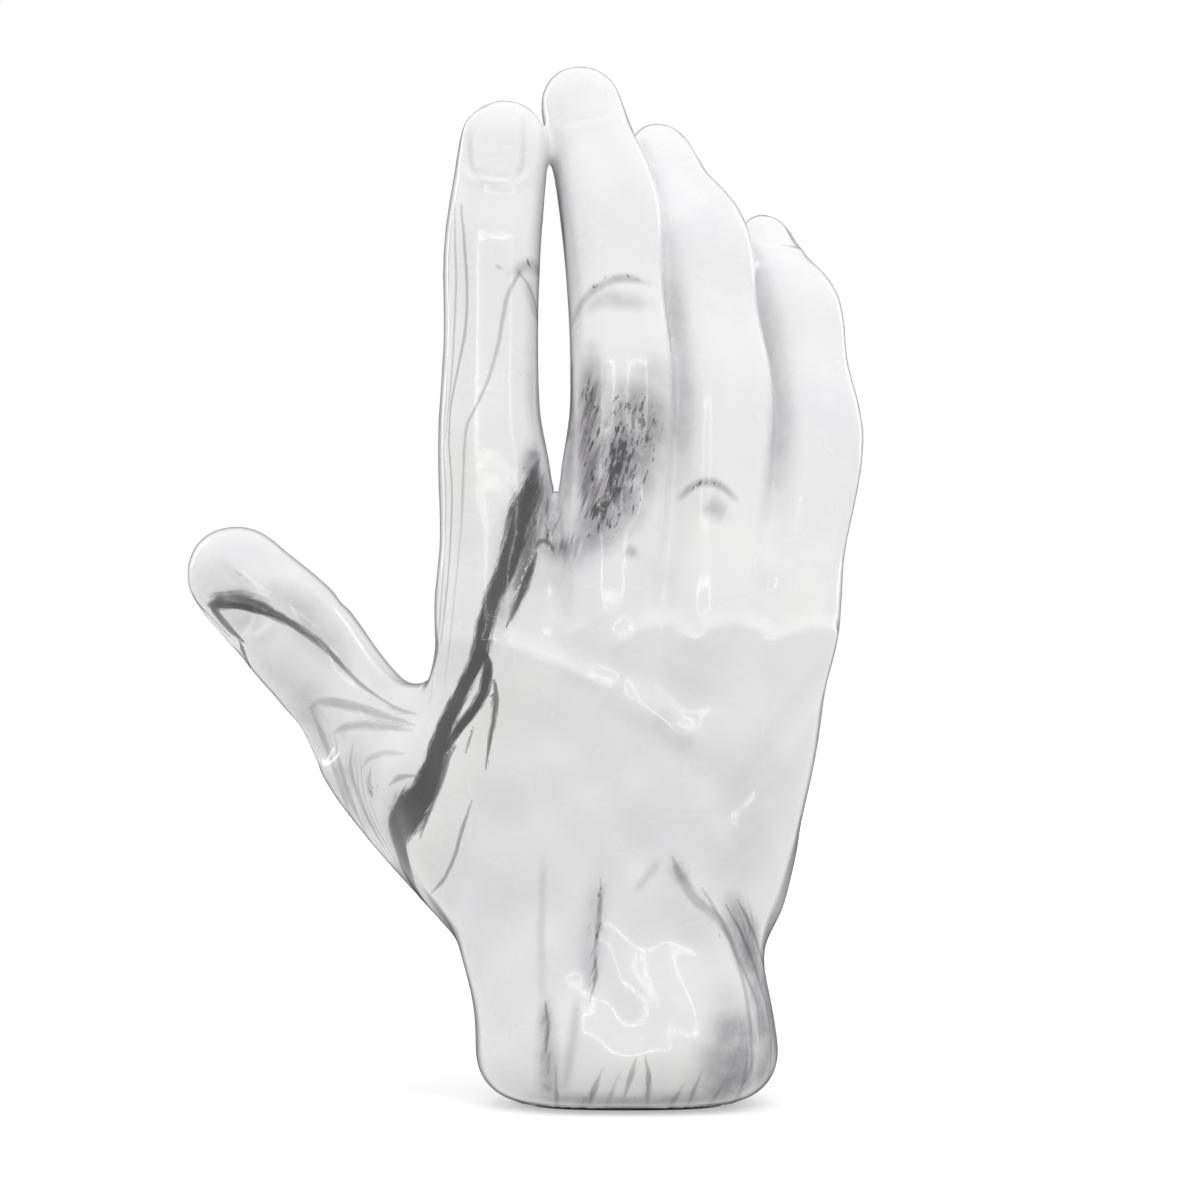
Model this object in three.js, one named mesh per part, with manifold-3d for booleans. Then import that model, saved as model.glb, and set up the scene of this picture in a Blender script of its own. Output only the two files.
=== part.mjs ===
// Hand sculpture: a right hand that stands on its wrist, fingers up, its back to the front.
// The hand is one hollow resin casting. Its fingers are cast solid round steel wires, the wires run down
// through the hollow palm into a poured plaster weight, and a plate and a soft pad close the wrist below.
// Millimetres, +Z up, -Y to the front (back of the hand), -X to the thumb, origin under the base's middle.
import * as THREE from "three";
import { mergeVertices } from "three/addons/utils/BufferGeometryUtils.js";
import Module from "manifold-3d";

const wasm = await Module();
wasm.setup();

// Wrist stub, its rounded bottom edge, and the hollow inside it.
const BASE_WIDTH = 63;
const BASE_DEPTH = 49;
const BASE_EDGE_RADIUS = 10;
const WALL = 4.5;
const FLOOR = 5;
const HOLLOW_TOP = 82;
const HOLLOW_TOP_ROUND = 6;

// What closes the wrist: a mouth inside a flat rim, a plate let into it, a pad under both, a weight above.
const MOUTH_RIM = 5;
const PLATE_LEDGE = 2.5;
const PLATE_THICKNESS = 2.5;
const PAD_THICKNESS = 0.8;
const PAD_INSET = 1;
const WEIGHT_TOP = 42;
const FIT = 0.3;

// Palm: the height of its uppermost section, and its sections from the wrist up: how far up the palm each
// lies, and how far it reaches from the wrist's own axis to the thumb side, the little-finger side, the back
// of the hand and the palm side. The base's sizes come below them.
const PALM_TOP = 107;
const PALM_SECTIONS = [
  { share: 0.096, thumb: 31.8, little: 30.3, back: 22.5, front: 22 },
  { share: 0.22, thumb: 35, little: 28.2, back: 19, front: 19.5 },
  { share: 0.355, thumb: 38.5, little: 32.6, back: 17.5, front: 18 },
  { share: 0.49, thumb: 41.5, little: 36.2, back: 18, front: 15.5 },
  { share: 0.636, thumb: 43.5, little: 39.3, back: 18.5, front: 13 },
  { share: 0.761, thumb: 42.3, little: 41, back: 18, front: 12 },
  { share: 0.886, thumb: 39.5, little: 42, back: 15.5, front: 10.5 },
  { share: 1, thumb: 37, little: 41.5, back: 11.5, front: 7.5 },
];
const PALM_TOP_ROUND = 9;
const PALM_SQUARENESS = 2.5;

// Fingers: where the knuckle's centre lies, its height taken from the palm's top, the three bone lengths,
// how far each bone leans to the little-finger side and curls to the palm (degrees from upright), the turn
// of the nail to the little-finger side, and half widths at knuckle, first and second joint, nail and tip.
const FINGERS = {
  index: {
    knuckle: [-27.2, -6.5, -11.5], bones: [43, 40.5, 32], lean: [-1.8, 0.7, 6], curl: [6, 9, 13.5],
    turn: 0, halfWidths: [12.3, 10.7, 10.2, 9.7, 9],
  },
  middle: {
    knuckle: [-3, -8.5, -10.5], bones: [54.5, 38, 33.7], lean: [2, -3.9, -15.5], curl: [6, 17, 22],
    turn: 8, halfWidths: [11.5, 10.7, 10.7, 9.1, 8],
  },
  ring: {
    knuckle: [16.4, -6.3, -11], bones: [53.3, 35.2, 31], lean: [2.4, -7.6, -19.2], curl: [14, 21, 27],
    turn: 28, halfWidths: [12.4, 11.7, 11.6, 8, 5.9],
  },
  little: {
    knuckle: [31.4, -2.3, -13.5], bones: [48.9, 31.2, 24.3], lean: [9.2, -7.4, -18.6], curl: [19, 23, 32],
    turn: 36, halfWidths: [11.6, 10.8, 10.1, 6.7, 5.3],
  },
};
const FINGER_ROOT = 34;
const FINGER_ROOT_AIM = [0, -13, 22];
const FINGER_ROOT_SHARE = 0.62;
const FINGER_BACK_SHARE = 0.88;
const FINGER_PAD_SHARE = 0.95;
const FINGER_WAIST = 0.95;
const FINGER_SQUARENESS = 2.4;
const TIP_ROUND_SHARE = 1.05;

// Thumb: centres of its saddle joint, middle joint, end joint and tip, the way its nail faces, and half
// widths at the joints, nail and tip. A web joins it to the index finger's side of the palm, and its foot
// there has its height taken from the palm's top.
const THUMB = {
  joints: [[-25, 6, 41], [-51, 13, 72], [-70.3, 17, 97.2], [-90.7, 20, 116.8]],
  nailFacing: [-0.5, -0.66, -0.42], halfWidths: [13.5, 14, 12, 10.6, 10.3],
};
const THUMB_WAIST = 0.88;
const WEB_FOOT = [-31, 3, -26];
const WEB_START = 0.15;
const WEB_HALF_WIDTHS = [9.5, 9];

// Fleshy mounds of the palm side: the ball of the thumb and the heel on the little-finger side.
const MOUNDS = [
  { centre: [-30, 7, 59], radii: [21, 16.5, 31], lean: -33 },
  { centre: [16.5, 5, 56], radii: [20, 16, 36], lean: 7 },
];

// Skin between neighbouring fingers: how far up the two bones it is centred, its reach, and how far it lies
// behind the bones, to the palm.
const SKIN_FOLDS = [
  { fingers: ["index", "middle"], share: 0.34, radii: [8, 9, 15] },
  { fingers: ["middle", "ring"], share: 0.28, radii: [7, 9, 15] },
  { fingers: ["ring", "little"], share: 0.26, radii: [7, 8.5, 15] },
];
const SKIN_FOLD_SETBACK = 3;

// Wires: one in each finger, from the weight up to the cover of resin left at the tip.
const WIRE_DIAMETER = 3;
const WIRE_TIP_COVER = 14;
const WIRE_FOOT_HEIGHT = 16;
const WIRE_FOOT_SPACING = 7;

// Fineness of the faces: sides round a piece, lengths or counts of steps along it, how far a cut runs past
// the face that it opens, the length over which a limb's direction is taken, the last part step at a tip,
// and the distance within which corners are one.
const LIMB_SIDES = 16;
const LIMB_STEP = 5;
const TIP_STEPS = 5;
const PALM_SIDES = 32;
const PALM_STEP = 6.5;
const EDGE_STEPS = 5;
const MOUND_SIDES = 16;
const WIRE_SIDES = 8;
const WIRE_STEP = 10;
const CUT_OVER = 1;
const AIM_STEP = 1;
const TIP_END_STEP = 0.35;
const MERGE_DISTANCE = 1e-4;

const vec = (p) => new THREE.Vector3(...p);
const fromPalmTop = ([x, y, z]) => new THREE.Vector3(x, y, PALM_TOP + z);
const mean = (a, b) => (a + b) / 2;

// A closed skin over rings that have equal numbers of points, with a flat fan at each end.
function skin(rings) {
  const sides = rings[0].length;
  const points = rings.flat();
  const index = [];
  const corner = (ring, side) => ring * sides + (side % sides);
  for (let r = 0; r + 1 < rings.length; r++)
    for (let s = 0; s < sides; s++) {
      const [a, b] = [corner(r, s), corner(r, s + 1)];
      const [c, d] = [corner(r + 1, s), corner(r + 1, s + 1)];
      index.push(a, b, d, a, d, c);
    }
  for (const [ring, turned] of [[0, true], [rings.length - 1, false]]) {
    const middle = rings[ring].reduce((sum, p) => sum.add(p), new THREE.Vector3()).divideScalar(sides);
    points.push(middle);
    for (let s = 0; s < sides; s++) {
      const [a, b] = [corner(ring, s), corner(ring, s + 1)];
      index.push(points.length - 1, turned ? b : a, turned ? a : b);
    }
  }
  return new THREE.BufferGeometry().setFromPoints(points).setIndex(index);
}

// A rounded-box curve: place() turns its unit coordinates into a point.
function ring(sides, squareness, place) {
  const rounded = (v) => Math.sign(v) * Math.abs(v) ** (2 / squareness);
  return Array.from({ length: sides }, (_, i) => {
    const angle = (2 * Math.PI * i) / sides;
    return place(rounded(Math.cos(angle)), rounded(Math.sin(angle)));
  });
}

// A finger, thumb or web: a skin along stations { point, width, back, pad }, with a round tip at the last.
// facing is the way the nail looks.
function limb(stations, facing, tipRound) {
  const places = [0];
  for (let i = 1; i < stations.length; i++)
    places.push(places[i - 1] + stations[i].point.distanceTo(stations[i - 1].point));
  const values = stations.flatMap(({ point, width, back, pad }) => [...point.toArray(), width, back, pad]);
  const shape = new THREE.CubicInterpolant(places, values, values.length / places.length);
  const length = places.at(-1);
  const straight = length - tipRound;
  const steps = Math.round(straight / LIMB_STEP);
  const cuts = Array.from({ length: steps }, (_, i) => ({ at: (straight * i) / steps, share: 1 }));
  for (let i = 0; i <= TIP_STEPS; i++) {
    const angle = (Math.PI / 2) * (i / (TIP_STEPS + TIP_END_STEP));
    cuts.push({ at: straight + tipRound * Math.sin(angle), share: Math.cos(angle) });
  }
  const point = (at) => vec([...shape.evaluate(at)].slice(0, 3));
  return skin(
    cuts.map(({ at, share }) => {
      const [x, y, z, width, back, pad] = [...shape.evaluate(at)];
      const ahead = Math.min(at + AIM_STEP / 2, length);
      const along = point(ahead).sub(point(ahead - AIM_STEP)).normalize();
      const out = facing.clone().addScaledVector(along, -facing.dot(along)).normalize();
      const across = new THREE.Vector3().crossVectors(out, along);
      return ring(LIMB_SIDES, FINGER_SQUARENESS, (c, s) =>
        vec([x, y, z])
          .addScaledVector(across, c * width * share)
          .addScaledVector(out, s * (s > 0 ? back : pad) * share),
      );
    }),
  );
}

function station(point, halfWidth) {
  const [back, pad] = [FINGER_BACK_SHARE, FINGER_PAD_SHARE].map((share) => halfWidth * share);
  return { point, width: halfWidth, back, pad };
}

const halfWay = (a, b) => a.clone().lerp(b, 1 / 2);

// A station half way between two joints, a little slimmer than they are.
function waist(a, b, widthA, widthB, slimmer = FINGER_WAIST) {
  return station(halfWay(a, b), slimmer * mean(widthA, widthB));
}

// The joints of a finger, from its own bone lengths and angles: knuckle, first joint, second joint, tip.
function fingerJoints({ knuckle, bones, lean, curl }) {
  const joints = [fromPalmTop(knuckle)];
  bones.forEach((bone, i) => {
    const [side, bend] = [lean[i], curl[i]].map(THREE.MathUtils.degToRad);
    const upright = Math.cos(bend);
    const way = new THREE.Vector3(Math.sin(side) * upright, Math.sin(bend), Math.cos(side) * upright);
    joints.push(joints[i].clone().addScaledVector(way, bone));
  });
  return joints;
}

function finger(sizes) {
  const [knuckle, first, second, tip] = fingerJoints(sizes);
  const [w0, w1, w2, nail, end] = sizes.halfWidths;
  const toWrist = vec(FINGER_ROOT_AIM).sub(knuckle).setLength(FINGER_ROOT);
  const turn = THREE.MathUtils.degToRad(sizes.turn);
  const facing = new THREE.Vector3(Math.sin(turn), -Math.cos(turn), 0);
  const stations = [
    station(knuckle.clone().add(toWrist), w0 * FINGER_ROOT_SHARE), station(knuckle, w0),
    waist(knuckle, first, w0, w1), station(first, w1), waist(first, second, w1, w2), station(second, w2),
    station(halfWay(second, tip), nail), station(tip, end),
  ];
  return limb(stations, facing, end * TIP_ROUND_SHARE);
}

const thumbFacing = vec(THUMB.nailFacing).normalize();
const thumbJoints = THUMB.joints.map(vec);

function thumb() {
  const [saddle, middle, end, tip] = thumbJoints;
  const [w0, w1, w2, nail, tipWidth] = THUMB.halfWidths;
  const stations = [
    station(saddle, w0), station(middle, w1), waist(middle, end, w1, w2, THUMB_WAIST), station(end, w2),
    station(halfWay(end, tip), nail), station(tip, tipWidth),
  ];
  return limb(stations, thumbFacing, tipWidth * TIP_ROUND_SHARE);
}

function web() {
  const foot = fromPalmTop(WEB_FOOT);
  const start = thumbJoints[1].clone().lerp(thumbJoints[2], WEB_START);
  const [w0, w1] = WEB_HALF_WIDTHS;
  return limb([station(start, w0), waist(start, foot, w0, w1), station(foot, w1)], thumbFacing, w1);
}

function mound({ centre, radii, lean }) {
  return new THREE.SphereGeometry(1, MOUND_SIDES, MOUND_SIDES / 2)
    .rotateX(Math.PI / 2)
    .scale(...radii)
    .rotateY(THREE.MathUtils.degToRad(lean))
    .translate(...centre);
}

function skinFold({ fingers, share, radii }) {
  const [one, other] = fingers.map((name) => {
    const [knuckle, first] = fingerJoints(FINGERS[name]);
    return knuckle.lerp(first, share);
  });
  const centre = halfWay(one, other);
  centre.y += SKIN_FOLD_SETBACK;
  return mound({ centre: centre.toArray(), radii, lean: 0 });
}

const edgeTop = PAD_THICKNESS + BASE_EDGE_RADIUS;
const [baseSide, baseFace] = [BASE_WIDTH / 2, BASE_DEPTH / 2];
const sections = [
  { share: 0, thumb: baseSide, little: baseSide, back: baseFace, front: baseFace },
  ...PALM_SECTIONS,
];
const heights = sections.map(({ share }) => THREE.MathUtils.lerp(edgeTop, PALM_TOP, share));
const reaches = sections.flatMap(({ thumb, little, back, front }) => [thumb, little, back, front]);
const palmShape = new THREE.CubicInterpolant(heights, reaches, reaches.length / heights.length);

// The palm's outline at a height, drawn in by the rounded bottom edge and by an inset of its own.
function palmRing(z, inset) {
  const below = Math.max(0, edgeTop - z);
  const drawnIn = inset + BASE_EDGE_RADIUS - Math.sqrt(BASE_EDGE_RADIUS ** 2 - below ** 2);
  const [thumbSide, littleSide, back, front] = [
    ...palmShape.evaluate(THREE.MathUtils.clamp(z, edgeTop, PALM_TOP)),
  ].map((reach) => reach - drawnIn);
  return ring(PALM_SIDES, PALM_SQUARENESS, (c, s) =>
    new THREE.Vector3(c * (c < 0 ? thumbSide : littleSide), s * (s < 0 ? back : front), z),
  );
}

// The palm's form between two heights, inside an inset, with a rounded top.
function palmBody(from, to, inset, topRound) {
  const quarter = (i) => ((Math.PI / 2) * i) / EDGE_STEPS;
  const low = Math.max(from, edgeTop);
  const high = to - topRound;
  const steps = Math.round((high - low) / PALM_STEP);
  const levels = [from];
  for (let i = 1; i < EDGE_STEPS; i++) levels.push(edgeTop - BASE_EDGE_RADIUS * Math.cos(quarter(i)));
  for (let i = 0; i <= steps; i++) levels.push(low + ((high - low) * i) / steps);
  const rings = levels.filter((z, i) => i === 0 || z > from).map((z) => palmRing(z, inset));
  for (let i = 1; topRound > 0 && i <= EDGE_STEPS; i++) {
    const drawnIn = topRound * (1 - Math.cos(quarter(i)));
    rings.push(palmRing(high + topRound * Math.sin(quarter(i)), inset + drawnIn));
  }
  return skin(rings);
}

// A flat plate of the base's flat bottom outline, between two heights and inside an inset.
function basePlate(from, to, inset) {
  const halfWidth = baseSide - BASE_EDGE_RADIUS - inset;
  const halfDepth = baseFace - BASE_EDGE_RADIUS - inset;
  const outline = (z) =>
    ring(PALM_SIDES, PALM_SQUARENESS, (c, s) => new THREE.Vector3(c * halfWidth, s * halfDepth, z));
  return skin([outline(from), outline(to)]);
}

// A round wire through points, or the channel that it lies in: clearance makes it thicker and longer.
function wire(points, clearance) {
  const beyond = (end, before) => end.clone().add(end.clone().sub(before).setLength(clearance));
  const route = [
    beyond(points[0], points[1]), ...points.slice(1, -1), beyond(points.at(-1), points.at(-2)),
  ];
  const path = new THREE.CatmullRomCurve3(route, false, "centripetal");
  const radius = WIRE_DIAMETER / 2 + clearance;
  const section = ring(WIRE_SIDES, 2, (c, s) => new THREE.Vector2(c * radius, s * radius));
  const steps = Math.round(path.getLength() / WIRE_STEP);
  const along = { steps, bevelEnabled: false, extrudePath: path };
  return new THREE.ExtrudeGeometry(new THREE.Shape(section), along);
}

function wireRoute(joints, place) {
  const foot = new THREE.Vector3(place * WIRE_FOOT_SPACING, 0, WIRE_FOOT_HEIGHT);
  const riser = foot.clone().setZ(mean(WIRE_FOOT_HEIGHT, WEIGHT_TOP));
  const [before, tip] = joints.slice(-2);
  const end = tip.clone().add(before.clone().sub(tip).setLength(WIRE_TIP_COVER));
  return [foot, riser, ...joints.slice(0, -1), end];
}

function solidOf(geometry) {
  const bare = geometry.clone();
  bare.deleteAttribute("normal");
  bare.deleteAttribute("uv");
  const merged = mergeVertices(bare, MERGE_DISTANCE);
  return new wasm.Manifold(
    new wasm.Mesh({
      numProp: 3,
      vertProperties: new Float32Array(merged.attributes.position.array),
      triVerts: new Uint32Array(merged.index.array),
    }),
  );
}

function geometryOf(solid) {
  const { vertProperties, triVerts } = solid.getMesh();
  return new THREE.BufferGeometry()
    .setAttribute("position", new THREE.BufferAttribute(vertProperties, 3))
    .setIndex(new THREE.BufferAttribute(triVerts, 1));
}

const joinAll = (geometries) => geometries.map(solidOf).reduce((sum, solid) => sum.add(solid));
const cutAll = (solid, geometries) =>
  geometries.map(solidOf).reduce((left, cut) => left.subtract(cut), solid);

// Heights of the wrist's layers.
const floorTop = PAD_THICKNESS + FLOOR;
const plateTop = PAD_THICKNESS + PLATE_THICKNESS;
const plateInset = MOUTH_RIM - PLATE_LEDGE;

const routes = {
  thumb: wireRoute(thumbJoints.slice(1), -2),
  index: wireRoute(fingerJoints(FINGERS.index), -1),
  middle: wireRoute(fingerJoints(FINGERS.middle), 0),
  ring: wireRoute(fingerJoints(FINGERS.ring), 1),
  little: wireRoute(fingerJoints(FINGERS.little), 2),
};
const channels = Object.values(routes).map((route) => wire(route, FIT));

const outside = joinAll([
  palmBody(PAD_THICKNESS, PALM_TOP + PALM_TOP_ROUND, 0, PALM_TOP_ROUND),
  ...Object.values(FINGERS).map(finger),
  thumb(),
  web(),
  ...MOUNDS.map(mound),
  ...SKIN_FOLDS.map(skinFold),
]);
const shell = cutAll(outside, [
  palmBody(floorTop, HOLLOW_TOP, WALL, HOLLOW_TOP_ROUND),
  basePlate(PAD_THICKNESS - CUT_OVER, floorTop + CUT_OVER, MOUTH_RIM),
  basePlate(PAD_THICKNESS - CUT_OVER, plateTop + FIT, plateInset),
  ...channels,
]);
const weight = cutAll(
  joinAll([
    palmBody(floorTop + FIT, WEIGHT_TOP, WALL + FIT, 0),
    basePlate(plateTop + 2 * FIT, floorTop + CUT_OVER, MOUTH_RIM + FIT),
  ]),
  channels,
);

const resin = new THREE.MeshStandardMaterial({ color: 0xf3f2f3, roughness: 0.12, metalness: 0 });
const steel = new THREE.MeshStandardMaterial({ color: 0x9a9a98, roughness: 0.45, metalness: 1 });
const plaster = new THREE.MeshStandardMaterial({ color: 0xd9d4c8, roughness: 0.95, metalness: 0 });
const board = new THREE.MeshStandardMaterial({ color: 0x8a6f52, roughness: 0.9, metalness: 0 });
const felt = new THREE.MeshStandardMaterial({ color: 0x2b2b2d, roughness: 1, metalness: 0 });

const hand = new THREE.Group();

function place(name, solid, material) {
  const mesh = new THREE.Mesh(geometryOf(solid), material);
  mesh.name = name;
  hand.add(mesh);
}

place("hand_shell", shell, resin);
for (const [name, route] of Object.entries(routes)) place(`${name}_wire`, solidOf(wire(route, 0)), steel);
place("plaster_weight", weight, plaster);
place("base_plate", solidOf(basePlate(PAD_THICKNESS, plateTop, plateInset + FIT)), board);
place("base_pad", solidOf(basePlate(0, PAD_THICKNESS, PAD_INSET)), felt);

export default hand;
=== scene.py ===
import math

import bmesh
import bpy
import numpy as np
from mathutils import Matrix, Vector
from mathutils.bvhtree import BVHTree


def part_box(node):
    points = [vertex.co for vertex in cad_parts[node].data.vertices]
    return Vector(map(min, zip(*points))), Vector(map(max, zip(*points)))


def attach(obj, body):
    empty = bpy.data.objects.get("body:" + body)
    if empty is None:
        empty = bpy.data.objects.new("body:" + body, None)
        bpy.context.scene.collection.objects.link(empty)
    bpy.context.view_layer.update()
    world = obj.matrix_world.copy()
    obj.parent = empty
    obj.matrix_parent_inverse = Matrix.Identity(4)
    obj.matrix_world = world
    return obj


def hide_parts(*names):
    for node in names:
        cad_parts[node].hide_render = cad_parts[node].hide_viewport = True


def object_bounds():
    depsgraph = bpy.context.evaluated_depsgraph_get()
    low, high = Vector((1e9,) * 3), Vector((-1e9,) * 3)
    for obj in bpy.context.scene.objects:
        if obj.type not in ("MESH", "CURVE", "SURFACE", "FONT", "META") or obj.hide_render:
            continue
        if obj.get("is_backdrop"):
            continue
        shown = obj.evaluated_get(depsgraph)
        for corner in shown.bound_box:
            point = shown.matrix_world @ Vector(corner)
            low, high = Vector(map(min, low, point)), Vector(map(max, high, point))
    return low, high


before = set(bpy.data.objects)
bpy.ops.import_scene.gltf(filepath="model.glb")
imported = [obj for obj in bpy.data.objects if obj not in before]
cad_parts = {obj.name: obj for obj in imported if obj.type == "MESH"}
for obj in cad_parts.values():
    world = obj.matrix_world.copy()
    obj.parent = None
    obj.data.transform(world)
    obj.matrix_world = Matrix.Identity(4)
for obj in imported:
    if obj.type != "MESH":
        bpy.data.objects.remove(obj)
cad_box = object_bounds()

# Camera
# The photograph was taken square on to the back of the hand, level, from a little under a metre.
# Its place and focal length were worked out once in pixels of the 1200 x 1200 picture.
MM = 0.001
PHOTO_SIDE = 1200
FOCAL_PIXELS = 4092
CAMERA_PLACE = Vector((-5.6, -850, 104.4)) * MM
SENSOR = 36
FAR_CLIP = 20

lens = bpy.data.cameras.new("camera")
lens.sensor_width = SENSOR
lens.lens = SENSOR * FOCAL_PIXELS / PHOTO_SIDE
lens.clip_end = FAR_CLIP
camera = bpy.data.objects.new("camera", lens)
camera.location = CAMERA_PLACE
camera.rotation_euler = (math.pi / 2, 0, 0)
bpy.context.scene.collection.objects.link(camera)
bpy.context.scene.camera = camera

# Reinforcing wires
# Five lengths of 3 mm annealed steel wire, one laid into each finger before the resin is poured. Their lower
# ends stand in the plaster of the wrist. They stay as drawn and get dull, slightly rusted steel.
STEEL = (0.30, 0.29, 0.28, 1)
STEEL_RUST = (0.20, 0.11, 0.06, 1)
STEEL_ROUGH = (0.32, 0.6)
STEEL_METAL = (1.0, 0.25)
RUST_SCALE, RUST_EDGE = 260.0, (0.52, 0.72)
DRAWN_SCALE, DRAWN_STRETCH = 2600.0, (1, 1, 9)
DRAWN_STRENGTH, DRAWN_DEPTH = 0.4, 0.02 * MM


def new_material(name):
    """A new material with its node tree and its Principled shader."""
    material = bpy.data.materials.new(name)
    material.use_nodes = True
    tree = material.node_tree
    shader = tree.nodes["Principled BSDF"]
    return material, tree, shader


def add_node(tree, kind, settings=(), **inputs):
    """Adds a shader node; each input named is set to a value or linked to another node's output."""
    node = tree.nodes.new("ShaderNode" + kind)
    for name, value in dict(settings).items():
        setattr(node, name, value)
    for name, value in inputs.items():
        feed(tree, node.inputs[name.replace("_", " ")], value)
    return node


def feed(tree, socket, value):
    """Sets a socket to a value, or links it to another node's output."""
    if isinstance(value, bpy.types.NodeSocket):
        tree.links.new(value, socket)
    else:
        socket.default_value = value


def maths(tree, operation, *values, clamp=False):
    node = tree.nodes.new("ShaderNodeMath")
    node.operation = operation
    node.use_clamp = clamp
    for socket, value in zip(node.inputs, values):
        feed(tree, socket, value)
    return node.outputs[0]


def step(tree, value, low, high, to_low=0.0, to_high=1.0):
    """A smooth step of a value from one level to another."""
    node = add_node(tree, "MapRange", {"interpolation_type": "SMOOTHSTEP"})
    for socket, given in zip(node.inputs, (value, low, high, to_low, to_high)):
        feed(tree, socket, given)
    return node.outputs[0]


def blend(tree, share, first, second):
    """A mix of two colours. The Mix node's sockets for colours are numbers 6 and 7, and 2 on the way out."""
    node = add_node(tree, "Mix", {"data_type": "RGBA"})
    for number, given in ((0, share), (6, first), (7, second)):
        feed(tree, node.inputs[number], given)
    return node.outputs[2]


def noise(tree, where, scale, detail=4.0, roughness=0.55):
    node = add_node(tree, "TexNoise", Vector=where, Scale=scale, Detail=detail, Roughness=roughness)
    return node.outputs["Fac"]


def object_space(tree, turn=(0, 0, 0), stretch=(1, 1, 1)):
    """The object's own coordinates, turned and then stretched along the turned axes."""
    place = add_node(tree, "TexCoord").outputs["Object"]
    moved = add_node(tree, "Mapping", {"vector_type": "TEXTURE"}, Vector=place, Rotation=turn, Scale=stretch)
    return moved.outputs[0]


def bump(tree, shader, height, strength, distance):
    raised = add_node(tree, "Bump", Height=height, Strength=strength, Distance=distance)
    tree.links.new(raised.outputs[0], shader.inputs["Normal"])


def dress(node, material):
    for slot in node.material_slots:
        slot.material = material


wire_steel, tree, shader = new_material("wire_steel")
rust = step(tree, noise(tree, object_space(tree), RUST_SCALE, 6.0, 0.7), *RUST_EDGE)
feed(tree, shader.inputs["Base Color"], blend(tree, rust, STEEL, STEEL_RUST))
feed(tree, shader.inputs["Roughness"], step(tree, rust, 0.0, 1.0, *STEEL_ROUGH))
feed(tree, shader.inputs["Metallic"], step(tree, rust, 0.0, 1.0, *STEEL_METAL))
drawn = noise(tree, object_space(tree, stretch=DRAWN_STRETCH), DRAWN_SCALE)
bump(tree, shader, drawn, DRAWN_STRENGTH, DRAWN_DEPTH)
for name in ("thumb", "index", "middle", "ring", "little"):
    dress(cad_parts[f"{name}_wire"], wire_steel)

# Hand
# One hollow casting of white polyester resin, poured into a rubber mould of a life-size hand. It is dipped
# in a marble film and lacquered, so the whole skin is smooth and wet-looking, down to the wrist's round edge.
SKIN_GRAIN = 0.65
WELD = 1e-6
MOUTH_DROP = 1 * MM
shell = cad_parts["hand_shell"]
foot_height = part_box("hand_shell")[0].z


def casting_sides(node, floor):
    """The casting's inner and outer faces, parted at the flat rim below and each closed again there."""
    whole = bmesh.new()
    whole.from_mesh(node.data)
    bmesh.ops.remove_doubles(whole, verts=whole.verts, dist=WELD)
    rim = [f for f in whole.faces if all(abs(v.co.z - floor) < WELD for v in f.verts)]
    bmesh.ops.delete(whole, geom=rim, context="FACES")
    loose = set(whole.verts)
    sides = []
    while loose:
        side = set()
        front = {loose.pop()}
        while front:
            side |= front
            front = {e.other_vert(v) for v in front for e in v.link_edges} - side
        loose -= side
        sides.append(side)
    whole.verts.index_update()
    indices = [{v.index for v in side} for side in sorted(sides, key=len)]
    for name, kept in zip(("hollow", "outside"), indices):
        part = whole.copy()
        bmesh.ops.delete(part, geom=[v for v in part.verts if v.index not in kept], context="VERTS")
        bmesh.ops.holes_fill(part, edges=[e for e in part.edges if e.is_boundary])
        bmesh.ops.recalc_face_normals(part, faces=part.faces)
        mesh = bpy.data.meshes.new(name)
        part.to_mesh(mesh)
        yield mesh
    whole.free()


def evaluated_copy(thing):
    """The mesh that an object's modifiers make of it."""
    return bpy.data.meshes.new_from_object(thing.evaluated_get(bpy.context.evaluated_depsgraph_get()))


hollow_mesh, outside_mesh = casting_sides(shell, foot_height)
for corner in hollow_mesh.vertices:
    if abs(corner.co.z - foot_height) < WELD:
        corner.co.z -= MOUTH_DROP

hand = bpy.data.objects.new("hand", outside_mesh)
bpy.context.scene.collection.objects.link(hand)
remesh = hand.modifiers.new("remesh", "REMESH")
remesh.mode = "VOXEL"
remesh.voxel_size = SKIN_GRAIN * MM
fine = evaluated_copy(hand)
hand.modifiers.clear()
hand.data = fine


def points_of(mesh):
    flat = np.empty(len(mesh.vertices) * 3)
    mesh.vertices.foreach_get("co", flat)
    return flat.reshape(-1, 3) / MM


skin = points_of(fine)
ends = np.empty(len(fine.edges) * 2, np.int32)
fine.edges.foreach_get("vertices", ends)
ends = ends.reshape(-1, 2)
sources = np.concatenate((ends[:, 0], ends[:, 1]))
links = np.concatenate((ends[:, 1], ends[:, 0]))[np.argsort(sources, kind="stable")]
link_counts = np.bincount(sources, minlength=len(skin))
link_starts = np.concatenate(([0], np.cumsum(link_counts)[:-1]))


def spread(values, rounds, strength):
    """Values evened out over the skin: each round moves a point's value towards its neighbours' mean."""
    for _ in range(rounds):
        means = np.add.reduceat(values[links], link_starts, axis=0) / link_counts[:, None]
        values = values + strength * (means - values)
    return values


def ramp(values, low, high):
    """A smooth rise from 0 at low to 1 at high."""
    t = np.clip((values - low) / (high - low), 0, 1)
    return t * t * (3 - 2 * t)


def skin_normals():
    fine.vertices.foreach_set("co", (skin * MM).ravel())
    fine.update()
    normals = np.empty(len(skin) * 3)
    fine.vertices.foreach_get("normal", normals)
    return normals.reshape(-1, 3)


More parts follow.
